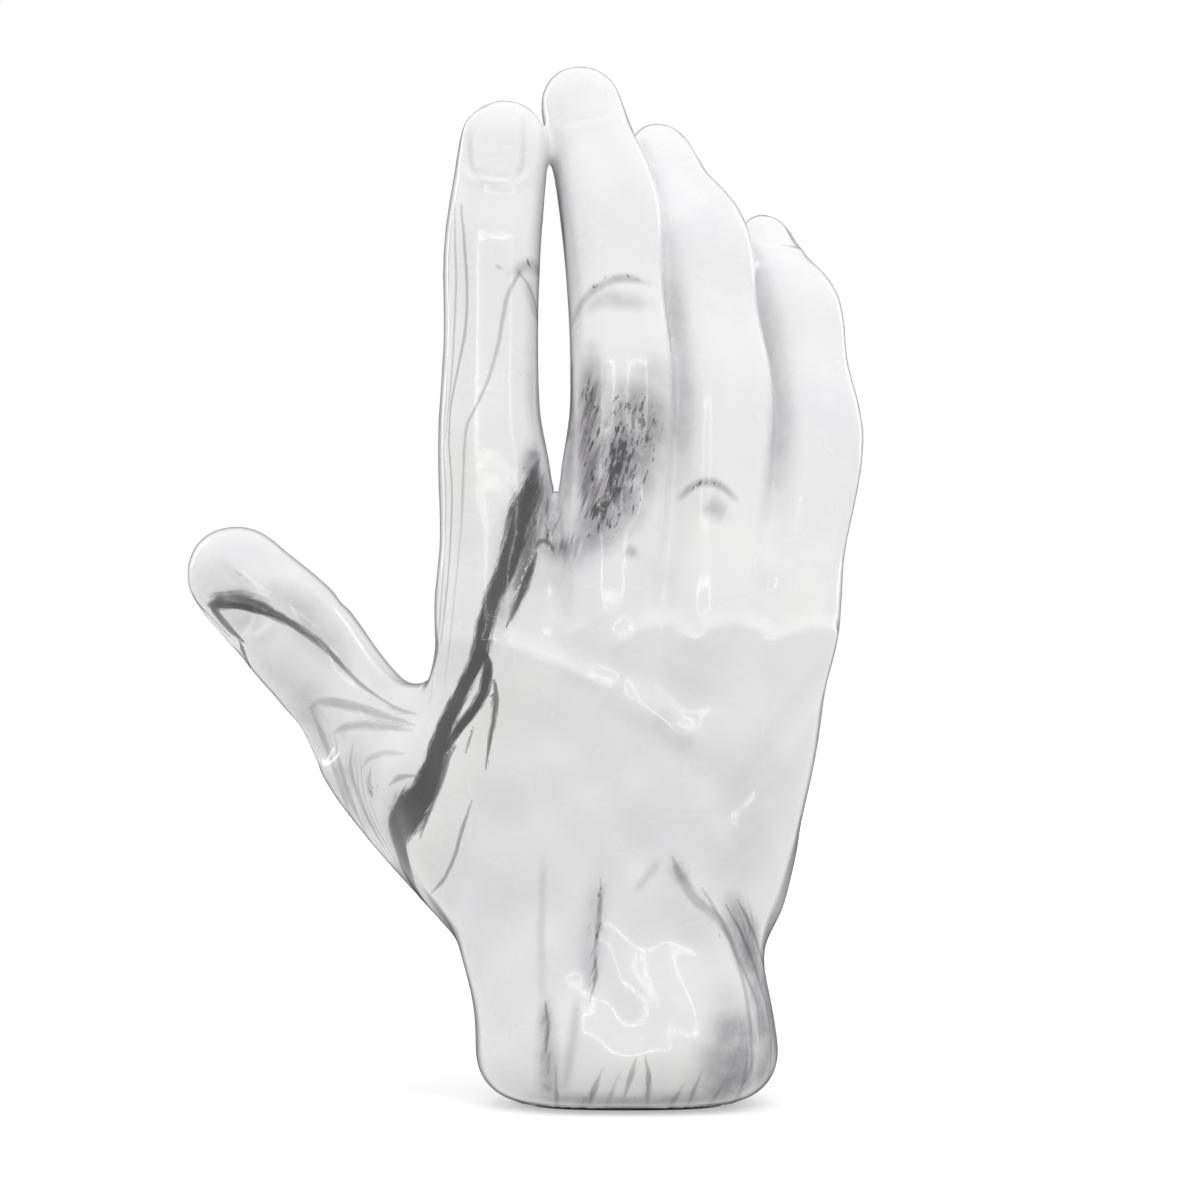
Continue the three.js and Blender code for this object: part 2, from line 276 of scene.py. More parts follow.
# The mould's form: the palm is evened out until its mounds and webs run together, the fingers only as far
# as hides the facets, and what the evening takes off round the outside is given back.
PALM_EVEN_BELOW, PALM_EVEN_ABOVE = 92, 124
THUMB_EVEN_FROM, THUMB_EVEN_TO = -40, -62
FOOT_EVEN_FROM, FOOT_EVEN_TO = 6, 24
EVEN_ROUNDS = 150
EVEN_PALM, EVEN_FINGERS = 0.6, 0.1
EVEN_GIVEN_BACK = 0.3
flat_foot = skin[:, 2] < foot_height / MM + SKIN_GRAIN / 2
skin[flat_foot, 2] = foot_height / MM
palm_share = 1 - ramp(skin[:, 2], PALM_EVEN_BELOW, PALM_EVEN_ABOVE)
palm_share *= (ramp(skin[:, 0], THUMB_EVEN_TO, THUMB_EVEN_FROM)
               * ramp(skin[:, 2], FOOT_EVEN_FROM, FOOT_EVEN_TO))
evening = (EVEN_FINGERS + (EVEN_PALM - EVEN_FINGERS) * palm_share)[:, None]
evened = spread(skin, EVEN_ROUNDS, evening)
skin = evened + spread(skin - evened, EVEN_ROUNDS, np.maximum(evening, EVEN_GIVEN_BACK))
skin[flat_foot, 2] = foot_height / MM
normals = skin_normals()

# Each finger's own measures: how far a skin point lies from the fingertip, to the finger's side and out of
# its back. They follow the wire that is cast into the finger.
WIRE_SIDES = 8
FINGERTIP_COVER = 14
LINE_ROUNDS = 12
NAIL_TURNS = {"index": -7, "middle": 8, "ring": 18, "little": 26}
THUMB_NAIL_FACING = np.array((-0.5, -0.66, -0.42))


def bone_line(node):
    """Points a millimetre apart down the middle of a finger, from its tip."""
    left = np.unique(np.round(np.array([v.co for v in node.data.vertices]) / MM, 3), axis=0)
    centre = left[np.argmax(left[:, 2])]
    centres = []
    while len(left) >= WIRE_SIDES:
        for _ in range(2):
            order = np.argsort(((left - centre) ** 2).sum(1))
            centre = left[order[:WIRE_SIDES]].mean(0)
        centres.append(centre)
        left = left[order[WIRE_SIDES:]]
    last = centres[0] - centres[1]
    tip = centres[0] + last * FINGERTIP_COVER / np.linalg.norm(last)
    route = np.array([tip, *centres])
    along = np.concatenate(([0], np.cumsum(np.linalg.norm(np.diff(route, axis=0), axis=1))))
    marks = np.arange(0, along[-1])
    line = np.stack([np.interp(marks, along, route[:, k]) for k in range(3)], axis=1)
    for _ in range(LINE_ROUNDS):
        line[1:-1] = (line[:-2] + 2 * line[1:-1] + line[2:]) / 4
    return line


class Finger:
    """Measures of all skin points by one finger's bone line."""

    def __init__(self, name, facing):
        line = bone_line(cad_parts[f"{name}_wire"])
        gaps = (skin**2).sum(1)[:, None] + (line**2).sum(1) - 2 * skin @ line.T
        nearest = gaps.argmin(1)
        self.off_bone = np.sqrt(np.maximum(gaps[np.arange(len(skin)), nearest], 0))
        down = np.gradient(line, axis=0)
        down /= np.linalg.norm(down, axis=1)[:, None]
        out = facing - down * (down @ facing)[:, None]
        out /= np.linalg.norm(out, axis=1)[:, None]
        across = np.cross(out, down)
        from_bone = skin - line[nearest]
        self.from_tip = nearest + (from_bone * down[nearest]).sum(1)
        self.aside = (from_bone * across[nearest]).sum(1)
        self.outward = (from_bone * out[nearest]).sum(1)


fingers = {}
for name, turn in NAIL_TURNS.items():
    angle = math.radians(turn)
    fingers[name] = Finger(name, np.array((math.sin(angle), -math.cos(angle), 0)))
fingers["thumb"] = Finger("thumb", THUMB_NAIL_FACING / np.linalg.norm(THUMB_NAIL_FACING))
owner = np.stack([f.off_bone for f in fingers.values()]).argmin(0)
for number, finger in enumerate(fingers.values()):
    finger.own = owner == number

# Nails: each plate lies a little below the skin round it, in a groove with a soft raised fold.
# From the fingertip: where the plate starts, its length and its half width in millimetres, and how clear
# it is.
NAILS = {
    "index": (2.4, 17.2, 5.7, 1.9),
    "middle": (2.4, 14.2, 6.3, 0.7),
    "ring": (2, 12.5, 5.1, 0.8),
    "little": (1.8, 10.5, 4.3, 1.0),
    "thumb": (6.5, 14.5, 6.9, 1.5),
}
NAIL_GROOVE, NAIL_GROOVE_WIDTH = 0.34, 0.8
NAIL_FOLD, NAIL_FOLD_WIDTH, NAIL_FOLD_OFF = 0.2, 1.2, 1.6
NAIL_SINK, NAIL_SINK_WIDTH = 0.2, 3
NAIL_ROUND_ROOT, NAIL_ROUND_TIP = 0.62, 0.5
NAIL_BACK_FROM, NAIL_BACK_TO = 0.5, 3.5
NAIL_PAST_ROOT = 6
# The fold grows from the nail's free end; there the groove has only a share of its depth.
NAIL_FOLD_FROM, NAIL_FOLD_TO = 1, 6
NAIL_FREE_GROOVE = 0.35
for name, (start, length, half_width, clear) in NAILS.items():
    f = fingers[name]
    middle = start + length / 2
    corner = np.where(f.from_tip > middle, NAIL_ROUND_ROOT, NAIL_ROUND_TIP) * half_width
    beyond = np.stack((np.abs(f.aside) - half_width, np.abs(f.from_tip - middle) - length / 2)) + corner
    edge = np.linalg.norm(np.maximum(beyond, 0), axis=0) + np.minimum(beyond.max(0), 0) - corner
    on_back = f.own * ramp(f.outward, NAIL_BACK_FROM, NAIL_BACK_TO)
    on_back = on_back * (f.from_tip < start + length + NAIL_PAST_ROOT)
    folded = ramp(f.from_tip, start + NAIL_FOLD_FROM, start + NAIL_FOLD_TO)
    groove = NAIL_GROOVE * (NAIL_FREE_GROOVE + (1 - NAIL_FREE_GROOVE) * folded)
    move = -groove * np.exp(-((edge / NAIL_GROOVE_WIDTH) ** 2))
    move += NAIL_FOLD * np.exp(-(((edge - NAIL_FOLD_OFF) / NAIL_FOLD_WIDTH) ** 2)) * folded
    move -= NAIL_SINK * (1 - ramp(edge, -NAIL_SINK_WIDTH, 0))
    skin += normals * (move * on_back * clear)[:, None]

# Joints: a low knob over each finger joint, and on the palm side full pads between creases. The joints are
# counted from the fingertip, in millimetres.
JOINTS_FROM_TIP = {
    "index": (32, 72.5, 86),
    "middle": (33.5, 71.5, 95),
    "ring": (31, 67, 89),
    "little": (24.5, 56, 75),
    "thumb": (28.5, 58),
}
JOINT_KNOB, JOINT_KNOB_LENGTH = 0.2, 7
CREASE, CREASE_WIDTH, CREASE_BOW = 0.5, 1.5, 0.02
PAD_SWELL, PAD_FULLNESS = 0.6, 1.5
KNOB_FACING, PAD_FACING = (0.1, 0.9), (0.35, 0.9)
for name, joints in JOINTS_FROM_TIP.items():
    f = fingers[name]
    turn = f.outward / np.hypot(f.aside, f.outward)
    back, pad = f.own * ramp(turn, *KNOB_FACING), f.own * ramp(-turn, *PAD_FACING)
    move = np.zeros(len(skin))
    for place in joints[:2]:
        move += back * JOINT_KNOB * np.exp(-(((f.from_tip - place) / JOINT_KNOB_LENGTH) ** 2))
    edges = (0, *joints)
    for low, high in zip(edges, edges[1:]):
        swell = np.clip(np.sin(np.pi * (f.from_tip - low) / (high - low)), 0, 1)
        inside = (f.from_tip > low) & (f.from_tip < high)
        move += pad * PAD_SWELL * swell**PAD_FULLNESS * inside
    for place in joints:
        bow = place + CREASE_BOW * f.aside**2
        move -= pad * CREASE * np.exp(-(((f.from_tip - bow) / CREASE_WIDTH) ** 2))
    skin += normals * move[:, None]

# Flat backs: every finger is a little square, with firm edges to both sides of a flat that faces more and
# more to the right from the first finger on. Each: the turn of the flat in degrees, its rise, and from where
# to where it fades out.
FLATS = {
    "index": (0, 0.25, 86, 101),
    "middle": (10, 0.5, 95, 110),
    "ring": (30, 0.6, 85, 104),
    "little": (36, 0.5, 72, 90),
    "thumb": (0, 0.5, 48, 66),
}
FLAT_EDGE = 67.5
FLAT_FROM, FLAT_TO = 14, 26
for name, (turn, rise, fade, end) in FLATS.items():
    angle = math.radians(turn)
    f = Finger(name, np.array((math.sin(angle), -math.cos(angle), 0)))
    round_bone = np.arctan2(np.abs(f.aside), f.outward)
    square = -np.cos(4 * round_bone) * (round_bone < math.radians(FLAT_EDGE))
    square *= ramp(f.from_tip, FLAT_FROM, FLAT_TO) * (1 - ramp(f.from_tip, fade, end))
    skin += normals * (fingers[name].own * rise * square)[:, None]
normals = skin_normals()

# Strokes on the skin: a curve through a few points, laid on the hand from the photographed side (pixels of
# the photograph) or from the palm side (millimetres across and up), and raised or pressed in along it.
BEHIND = 200
CURVE_STEPS = 10
LONGEST_STEP = 5


def skin_search():
    corners = np.empty(len(fine.loops), np.int32)
    fine.loops.foreach_get("vertex_index", corners)
    return BVHTree.FromPolygons([Vector(p) for p in skin], corners.reshape(-1, 4).tolist())


skin_tree = skin_search()


def curve_through(points):
    """Closely spaced points on a smooth curve through the given ones."""
    points = np.array(points, float)
    longer = np.concatenate((2 * points[:1] - points[1:2], points, 2 * points[-1:] - points[-2:-1]))
    t = np.linspace(0, 1, CURVE_STEPS, endpoint=False)[:, None]
    pieces = []
    for a, b, c, d in zip(longer, longer[1:], longer[2:], longer[3:]):
        bent = (2 * a - 5 * b + 4 * c - d) * t**2 + (3 * b - a - 3 * c + d) * t**3
        pieces.append((2 * b + (c - a) * t + bent) / 2)
    return np.concatenate((*pieces, points[-1:]))


def from_front(points):
    half = PHOTO_SIDE / 2
    rays = [Vector((x - half, FOCAL_PIXELS, half - y)).normalized() for x, y in curve_through(points)]
    hits = [skin_tree.ray_cast(CAMERA_PLACE / MM, ray)[0] for ray in rays]
    return np.array([hit for hit in hits if hit])


def from_palm(points):
    starts = [Vector((x, BEHIND, z)) for x, z in curve_through(points)]
    hits = [skin_tree.ray_cast(start, Vector((0, -1, 0)))[0] for start in starts]
    return np.array([hit for hit in hits if hit])


def reach(path, limit):
    """The skin points within a limit of a path: their gap to it, how far along it (0 to 1) and on which side.
    A long step is where the path jumps from one finger to another; nothing lies along it."""
    near = np.flatnonzero(((skin > path.min(0) - limit) & (skin < path.max(0) + limit)).all(1))
    gaps = np.full(len(near), np.inf)
    share, hands = np.zeros(len(near)), np.ones(len(near))
    sides = np.diff(path, axis=0)
    lengths = np.concatenate(([0], np.cumsum(np.linalg.norm(sides, axis=1))))
    for start, side, before, after in zip(path, sides, lengths, lengths[1:]):
        if 0 < after - before < LONGEST_STEP:
            t = np.clip(((skin[near] - start) @ side) / (side @ side), 0, 1)
            off = skin[near] - start - t[:, None] * side
            gap = np.linalg.norm(off, axis=1)
            closer = gap < gaps
            gaps[closer] = gap[closer]
            share[closer] = (before + t[closer] * (after - before)) / lengths[-1]
            hands[closer] = np.sign(side[0] * off[closer, 2] - side[2] * off[closer, 0])
    kept = gaps < limit
    return near[kept], gaps[kept], share[kept], hands[kept]


def stroke(path, rise, half_width, fade, far_width=None):
    """Raises the skin along a path. With a far width, the slope to the path's right hand has that width, and
    the two slopes meet in a crest."""
    near, gaps, share, hands = reach(path, max(half_width, far_width or 0))
    off = np.minimum(gaps / np.where(hands > 0, half_width, far_width or half_width), 1)
    height = rise * ((1 - off) ** 2 if far_width else (1 - off**2) ** 2)
    height *= ramp(np.minimum(share, 1 - share), 0, fade) if fade else 1
    skin[near] += normals[near] * height[:, None]


# Back of the hand: a scalloped crest under the knuckles with hollows between them, the cords that fan out
# from the wrist, the wrist bone, the firm border towards the thumb, the thumb's waist and the fold at its
# nail. Each: path, rise, half width, fade and, for a crest, the lower slope's width.
BACK_STROKES = (
    (((497, 639), (530, 653), (560, 664), (592, 679), (623, 693)), 1.3, 5, 0.12, 14),
    (((600, 682), (640, 705), (668, 724), (712, 762)), 0.9, 5, 0.3),
    (((436, 637), (470, 640), (506, 641)), 0.5, 4, 0.3, 10),
    (((560, 637), (577, 630), (594, 625)), 0.45, 2, 0.25, 4),
    (((606, 646), (618, 644), (628, 637), (641, 629), (671, 624), (682, 634), (700, 637), (708, 628),
      (737, 624), (757, 631), (774, 638), (794, 632), (816, 627), (838, 634)),
     1.0, 4.5, 0.06, 12),
    (((836, 650), (806, 700), (774, 750), (740, 795), (700, 850)), -0.9, 4.5, 0.3),
    (((722, 772), (690, 820), (660, 870), (630, 930), (600, 1000)), 0.8, 7, 0.4),
    (((545, 800), (566, 868), (574, 920), (566, 1000)), 0.5, 7, 0.4),
    (((432, 640), (414, 720), (409, 770), (425, 830), (440, 890), (457, 945)), 1.3, 7, 0.2),
    (((552, 560), (556, 595), (552, 628)), -0.5, 5, 0.35),
    (((660, 560), (658, 600), (650, 626)), -0.5, 5, 0.35),
    (((770, 570), (762, 605), (750, 628)), -0.5, 5, 0.35),
    (((560, 700), (540, 760), (560, 830)), -0.9, 15, 0.3),
    (((690, 670), (680, 695), (700, 725)), -0.6, 9, 0.3),
    (((724, 872), (716, 892)), 1.1, 12, 0),
    (((288, 698), (305, 720), (319, 744), (331, 772)), -3.6, 10, 0.3),
    (((245, 641), (259, 637), (269, 629), (276, 617)), 0.55, 1.6, 0.25),
)
for points, *measures in BACK_STROKES:
    stroke(from_front(points), *measures)

# Loose skin over the back of the hand and the wrist: low, slow waves, with which the gloss wanders.
# Each wave: its direction with the length in radians per millimetre, and its start.
WAVE_RISE = 0.13
WAVE_FACING, WAVE_TOP, WAVE_FOOT = (0.1, 0.7), (60, 100), (6, 16)
WAVES = (
    ((0.36, 0.05, 0.08), 0.4),
    ((0.25, 0.1, 0.27), 1.9),
    ((-0.30, 0.1, 0.22), 3.1),
    ((0.07, 0.05, 0.36), 4.6),
    ((0.20, -0.1, -0.32), 0.9),
    ((0.52, 0.1, 0.30), 2.2),
)
on_wrist = ramp(-normals[:, 1], *WAVE_FACING) * (1 - ramp(skin[:, 2], *WAVE_TOP))
on_wrist *= ramp(skin[:, 2], *WAVE_FOOT)
waves = sum(np.sin(skin @ np.array(way) + start) for way, start in WAVES)
skin += normals * (WAVE_RISE * waves * on_wrist)[:, None]

# Palm: the creases round the ball of the thumb and across under the fingers, and one at the wrist.
PALM_STROKES = (
    (((-41, 92), (-30, 86), (-17, 74), (-10, 58), (-10, 42), (-15, 31)), -0.9, 3, 0.25),
    (((-40, 93), (-20, 87), (2, 78), (20, 64), (25, 56)), -0.8, 2.8, 0.3),
    (((39, 90), (24, 94), (6, 98), (-8, 106), (-13, 114)), -0.9, 3, 0.3),
    (((-26, 30), (-10, 26), (8, 25), (24, 27)), -0.5, 2.8, 0.4),
)
for points, rise, half_width, fade in PALM_STROKES:
    stroke(from_palm(points), rise, half_width, fade)

# The fork between the first two fingers narrows to a point: both walls lean in below the joints.
FORK_LEANS = {"index": 2.2, "middle": -1.7}
FORK_TOP, FORK_LOW, FORK_FOOT, FORK_END = 146, 127, 120, 108
FORK_FACING = (0, 0.8)
low_in_fork = (1 - ramp(skin[:, 2], FORK_LOW, FORK_TOP)) * ramp(skin[:, 2], FORK_END, FORK_FOOT)
for name, lean in FORK_LEANS.items():
    wall = fingers[name].own * ramp(normals[:, 0] * np.sign(lean), *FORK_FACING)
    skin[:, 0] += lean * wall * low_in_fork

# Last touch of the mould maker: the fork between the first two fingers is rubbed smooth, then everything
# a little.
FORK = ((536, 506), (556, 508), (574, 506))
FORK_REACH, FORK_ROUNDS, FORK_RUB = 8, 40, 0.5
SKIN_ROUNDS, SKIN_RUB = 3, 0.4
near, gaps, _, _ = reach(from_front(FORK), FORK_REACH)
rubbed = np.zeros((len(skin), 1))
rubbed[near, 0] = FORK_RUB * (1 - gaps / FORK_REACH)
skin = spread(skin, FORK_ROUNDS, rubbed)
skin = spread(skin, SKIN_ROUNDS, SKIN_RUB)
skin[flat_foot, 2] = foot_height / MM
skin_normals()
skin_tree = skin_search()

# The hollow of the wrist and palm is taken out of the finished form, so the casting has its wall again.
core = bpy.data.objects.new("core", hollow_mesh)
bpy.context.scene.collection.objects.link(core)
hollowing = hand.modifiers.new("hollowing", "BOOLEAN")
hollowing.operation = "DIFFERENCE"
hollowing.solver = "MANIFOLD"
hollowing.object = core
fine = evaluated_copy(hand)
hand.modifiers.clear()
hand.data = fine
bpy.data.objects.remove(core)
skin = points_of(fine)

# The marble film: charcoal veins, grey haze, specks and streaks. They are laid on by strokes, placed
# against the photograph (pixels, half widths in pixels, tone and, for veins, fraying, 0 to 1), and kept as
# values of the skin's points. Branches are veins that lie beside or over others.
# Some of the grey haze is painted shade: in the fork, round the first finger's nail, on the left flanks of
# the other fingers, on the thumb and along the foot.
PIXEL = 0.2077
VEIN_SPILL = 2.2
FRONT_VEINS = (
    # the dark vein from the first fork down to the ball of the thumb and along its edge
    (((538, 462), (531, 490), (520, 516), (514, 545), (506, 570), (495, 592), (489, 610), (484, 630),
      (480, 652), (471, 673), (459, 697), (447, 722), (438, 748), (433, 770), (424, 791), (410, 810),
      (399, 832), (402, 856), (412, 884), (430, 909), (447, 931)),
     (2, 9, 11, 11, 10, 8.5, 8, 8, 8, 7.5, 8, 10, 12, 12, 14, 20, 17, 12, 9, 6, 2),
     (1, 1, 1, 1, 1, 1, 1, 1, 1, 1, 1, 1, 1, 1, 0.95, 0.84, 0.84, 0.9, 1, 1, 1),
     (1, .7, .5, .5, .5, .4, .3, .3, .3, .3, .3, .3, .25, .25, .2, .2, .2, .2, .2, .2, .2)),
    (((472, 800), (460, 837), (454, 857), (443, 880), (431, 893)), (0.8, 2, 2, 2, 0.8), 0.36, 0.6),
    # thumb: the band over the nail, the long line to the fork and the fan of soft swirls at the root
    (((208, 606), (220, 600), (238, 600), (256, 605), (272, 613), (285, 620), (300, 629), (316, 640),
      (329, 652), (345, 669), (358, 682), (378, 697), (398, 709), (417, 714)),
     (2, 7, 7.5, 7, 5, 3.6, 3.4, 3.2, 2.8, 2.2, 2, 1.8, 1.6, 0.8),
     (0.5, 0.6, 0.62, 0.66, 0.7, 0.62, 0.54, 0.48, 0.46, 0.42, 0.38, 0.36, 0.34, 0.2),
     (1, 1, 1, 0.9, 0.6, 0.5, 0.5, 0.5, 0.5, 0.5, 0.7, 0.8, 0.8, 0.8)),
    (((240, 642), (245, 656), (252, 670), (259, 681)), (2.4, 3.4, 2.8, 0.8), 0.85, 0.3),
    (((234, 570), (247, 581), (262, 594), (271, 604)), (0.8, 1.4, 1.4, 0.8), 0.12, 0.3),
    (((309, 709), (322, 702), (345, 704), (372, 712), (398, 720), (416, 726)),
     (1.5, 5, 5, 4, 3, 0.8), 0.22, 0.6),
    (((333, 734), (345, 727), (365, 725), (388, 727), (412, 731)), (1, 4.5, 4, 3.5, 0.8), 0.2, 0.6),
    (((361, 769), (370, 758), (386, 753), (408, 755)), (0.8, 3, 3, 0.8), 0.13, 0.6),
    (((371, 767), (369, 784), (374, 800), (384, 820)), (0.8, 3, 3, 0.8), 0.2, 0.8),
    # index finger: three thin lines down its side and two small spots
    (((519, 273), (508, 295), (503, 318), (498, 345), (488, 380), (474, 411), (466, 430), (463, 480),
      (461, 530), (455, 590), (450, 640), (444, 690)),
     (2.2, 2.2, 2, 1.8, 1.6, 1.5, 1.2, 1.2, 1.2, 1.2, 1.2, 0.8),
     (0.2, 0.2, 0.2, 0.2, 0.2, 0.2, 0.18, 0.1, 0.1, 0.1, 0.1, 0.1), 0.35),
    (((457, 175), (452, 215), (449, 250), (448, 300), (447, 350), (446, 394), (443, 443), (446, 496),
      (444, 557), (438, 639), (430, 700)),
     (0.8, 1.3, 1.5, 1.4, 1.4, 1.3, 1.4, 1.4, 1.3, 1.2, 0.8), 0.2, 0.3),
    (((461, 205), (464, 240), (467, 291), (465, 332), (457, 373), (451, 406), (449, 443), (452, 492),
      (450, 549), (446, 598), (441, 643)),
     (0.8, 1.5, 1.6, 1.6, 1.4, 1.3, 1.2, 1.2, 1.2, 1.2, 0.8), 0.24, 0.3),
    (((528, 262), (529, 265)), (1.6, 1.6), 0.5, 0.3),
    (((498, 267), (500, 268)), (1.8, 1.6), 0.16, 0.6),
    # wrist: thin streaks in the middle and to both sides, and small slanted dashes at the foot
    (((601, 878), (600, 905), (598, 930), (595, 955), (596, 975), (590, 1002)),
     (0.8, 2.2, 2.4, 1.4, 2.4, 0.8), (0.2, 0.28, 0.26, 0.18, 0.32, 0.24), 0.9),
    (((545, 1002), (548, 1024), (546, 1052)), (0.8, 2.2, 0.8), 0.34, 0.9),
    (((672, 856), (680, 876), (694, 897), (715, 916), (727, 932), (737, 955), (748, 980), (757, 1005),
      (760, 1040)),
     (1, 5, 5, 4.4, 3.4, 2.6, 2.2, 2, 1), (0.24, 0.22, 0.2, 0.2, 0.24, 0.24, 0.24, 0.24, 0.2), 0.7),
    (((738, 900), (752, 930), (764, 965), (774, 1000), (777, 1040)), (1, 2, 2.2, 2, 1), 0.34, 0.7),
    (((556, 1066), (556, 1086), (557, 1109)), (0.8, 2, 3), (0.14, 0.3, 0.42), 0.8),
    (((604, 1066), (596, 1084), (586, 1110)), (0.8, 3.4, 4), (0.16, 0.4, 0.4), 0.85),
    (((598, 1076), (590, 1092), (580, 1109)), (0.8, 2.6, 3), (0.12, 0.28, 0.34), 0.85),
    (((620, 1072), (612, 1092), (606, 1108)), (0.8, 2.4, 3), (0.1, 0.2, 0.24), 0.85),
    (((636, 1058), (630, 1078), (624, 1098)), (0.8, 3, 1), (0.12, 0.3, 0.2), 0.85),
    (((645, 1056), (648, 1072), (648, 1088), (647, 1108)), (0.8, 3, 2.4, 2.6), (0.2, 0.4, 0.28, 0.28), 0.85),
    (((684, 1084), (676, 1097), (667, 1111)), (0.8, 3, 3.4), (0.2, 0.36, 0.42), 0.85),
    (((703, 1068), (695, 1088), (688, 1106)), (0.8, 2.8, 2), (0.12, 0.3, 0.24), 0.85),
    (((725, 1080), (718, 1092), (710, 1105)), (0.8, 2.6, 3), (0.16, 0.3, 0.34), 0.85),
    (((747, 1046), (745, 1074), (737, 1100)), (0.8, 3, 3.4), (0.1, 0.24, 0.28), 0.85),
)
FRONT_BRANCHES = (
    # beside the dark vein
    (((544, 474), (538, 500), (533, 524), (529, 548), (522, 570), (514, 592)),
     (1.5, 6, 7, 7, 6, 1.5), 0.5, 1.0),
    (((537, 552), (529, 574), (523, 590), (515, 607), (506, 627)), (1, 4.5, 4.5, 3.5, 1), 0.8, 0.9),
    (((533, 550), (540, 541), (548, 543), (554, 551)), (0.8, 3, 3, 0.8), 0.5, 1.0),
    (((484, 652), (488, 668), (484, 690), (472, 712), (458, 730), (448, 748)), (3, 5, 5, 5, 5, 3), 0.95, 0.4),
    (((486, 658), (495, 690), (494, 717), (490, 740), (486, 768)), (2, 3, 2.6, 2, 0.8), 0.6, 0.7),
    (((462, 722), (455, 740), (447, 760), (441, 783), (433, 802), (420, 838)),
     (4, 4, 3, 2.4, 2, 0.8), 0.55, 0.5),
    (((470, 690), (474, 720), (466, 752)), (0.8, 2, 0.8), 0.35, 0.7),
    (((389, 785), (400, 777), (414, 776)), (0.8, 3, 1), 0.25, 0.8),
    # thumb: the band's dark lower edge and left limb, and the swirls' other limbs
    (((272, 616), (252, 609), (232, 605), (215, 607), (219, 617), (231, 630), (243, 641)),
     (1.5, 3.2, 3.4, 5, 6, 5, 2), (0.6, 0.85, 0.9, 0.85, 0.8, 0.8, 0.9), (0.4, 0.4, 0.4, 0.6, 0.6, 0.6, 0.4)),
    (((310, 707), (318, 724), (325, 742), (332, 762), (342, 790), (352, 818), (372, 845)),
     (1.5, 4, 4, 4, 4, 4, 1), 0.2, 0.7),
    (((335, 735), (338, 757), (344, 780), (354, 808), (370, 841)), (1, 3.5, 4, 4, 1), 0.24, 0.7),
    (((353, 744), (350, 765), (355, 785), (366, 815), (384, 846)), (0.8, 3, 3.5, 3.5, 1), 0.2, 0.7),
    # wrist
    (((702, 888), (718, 914), (732, 945), (744, 985), (751, 1030), (752, 1072)),
     (1, 2.4, 2.6, 2.6, 2.4, 1), 0.2, 0.8),
    (((726, 905), (742, 935), (756, 970), (767, 1010), (771, 1050), (767, 1088)),
     (1, 2, 2.2, 2.4, 2.4, 1), 0.36, 0.7),
    # index finger
    (((519, 273), (527, 283), (533, 296), (537, 312), (540, 328)), (1.6, 2.2, 2.2, 2, 1), 0.2, 0.4),
    (((455, 205), (455, 240), (456, 283), (453, 353), (449, 402), (445, 440)),
     (0.8, 1.4, 1.5, 1.4, 1.3, 0.8), 0.2, 0.3),
)
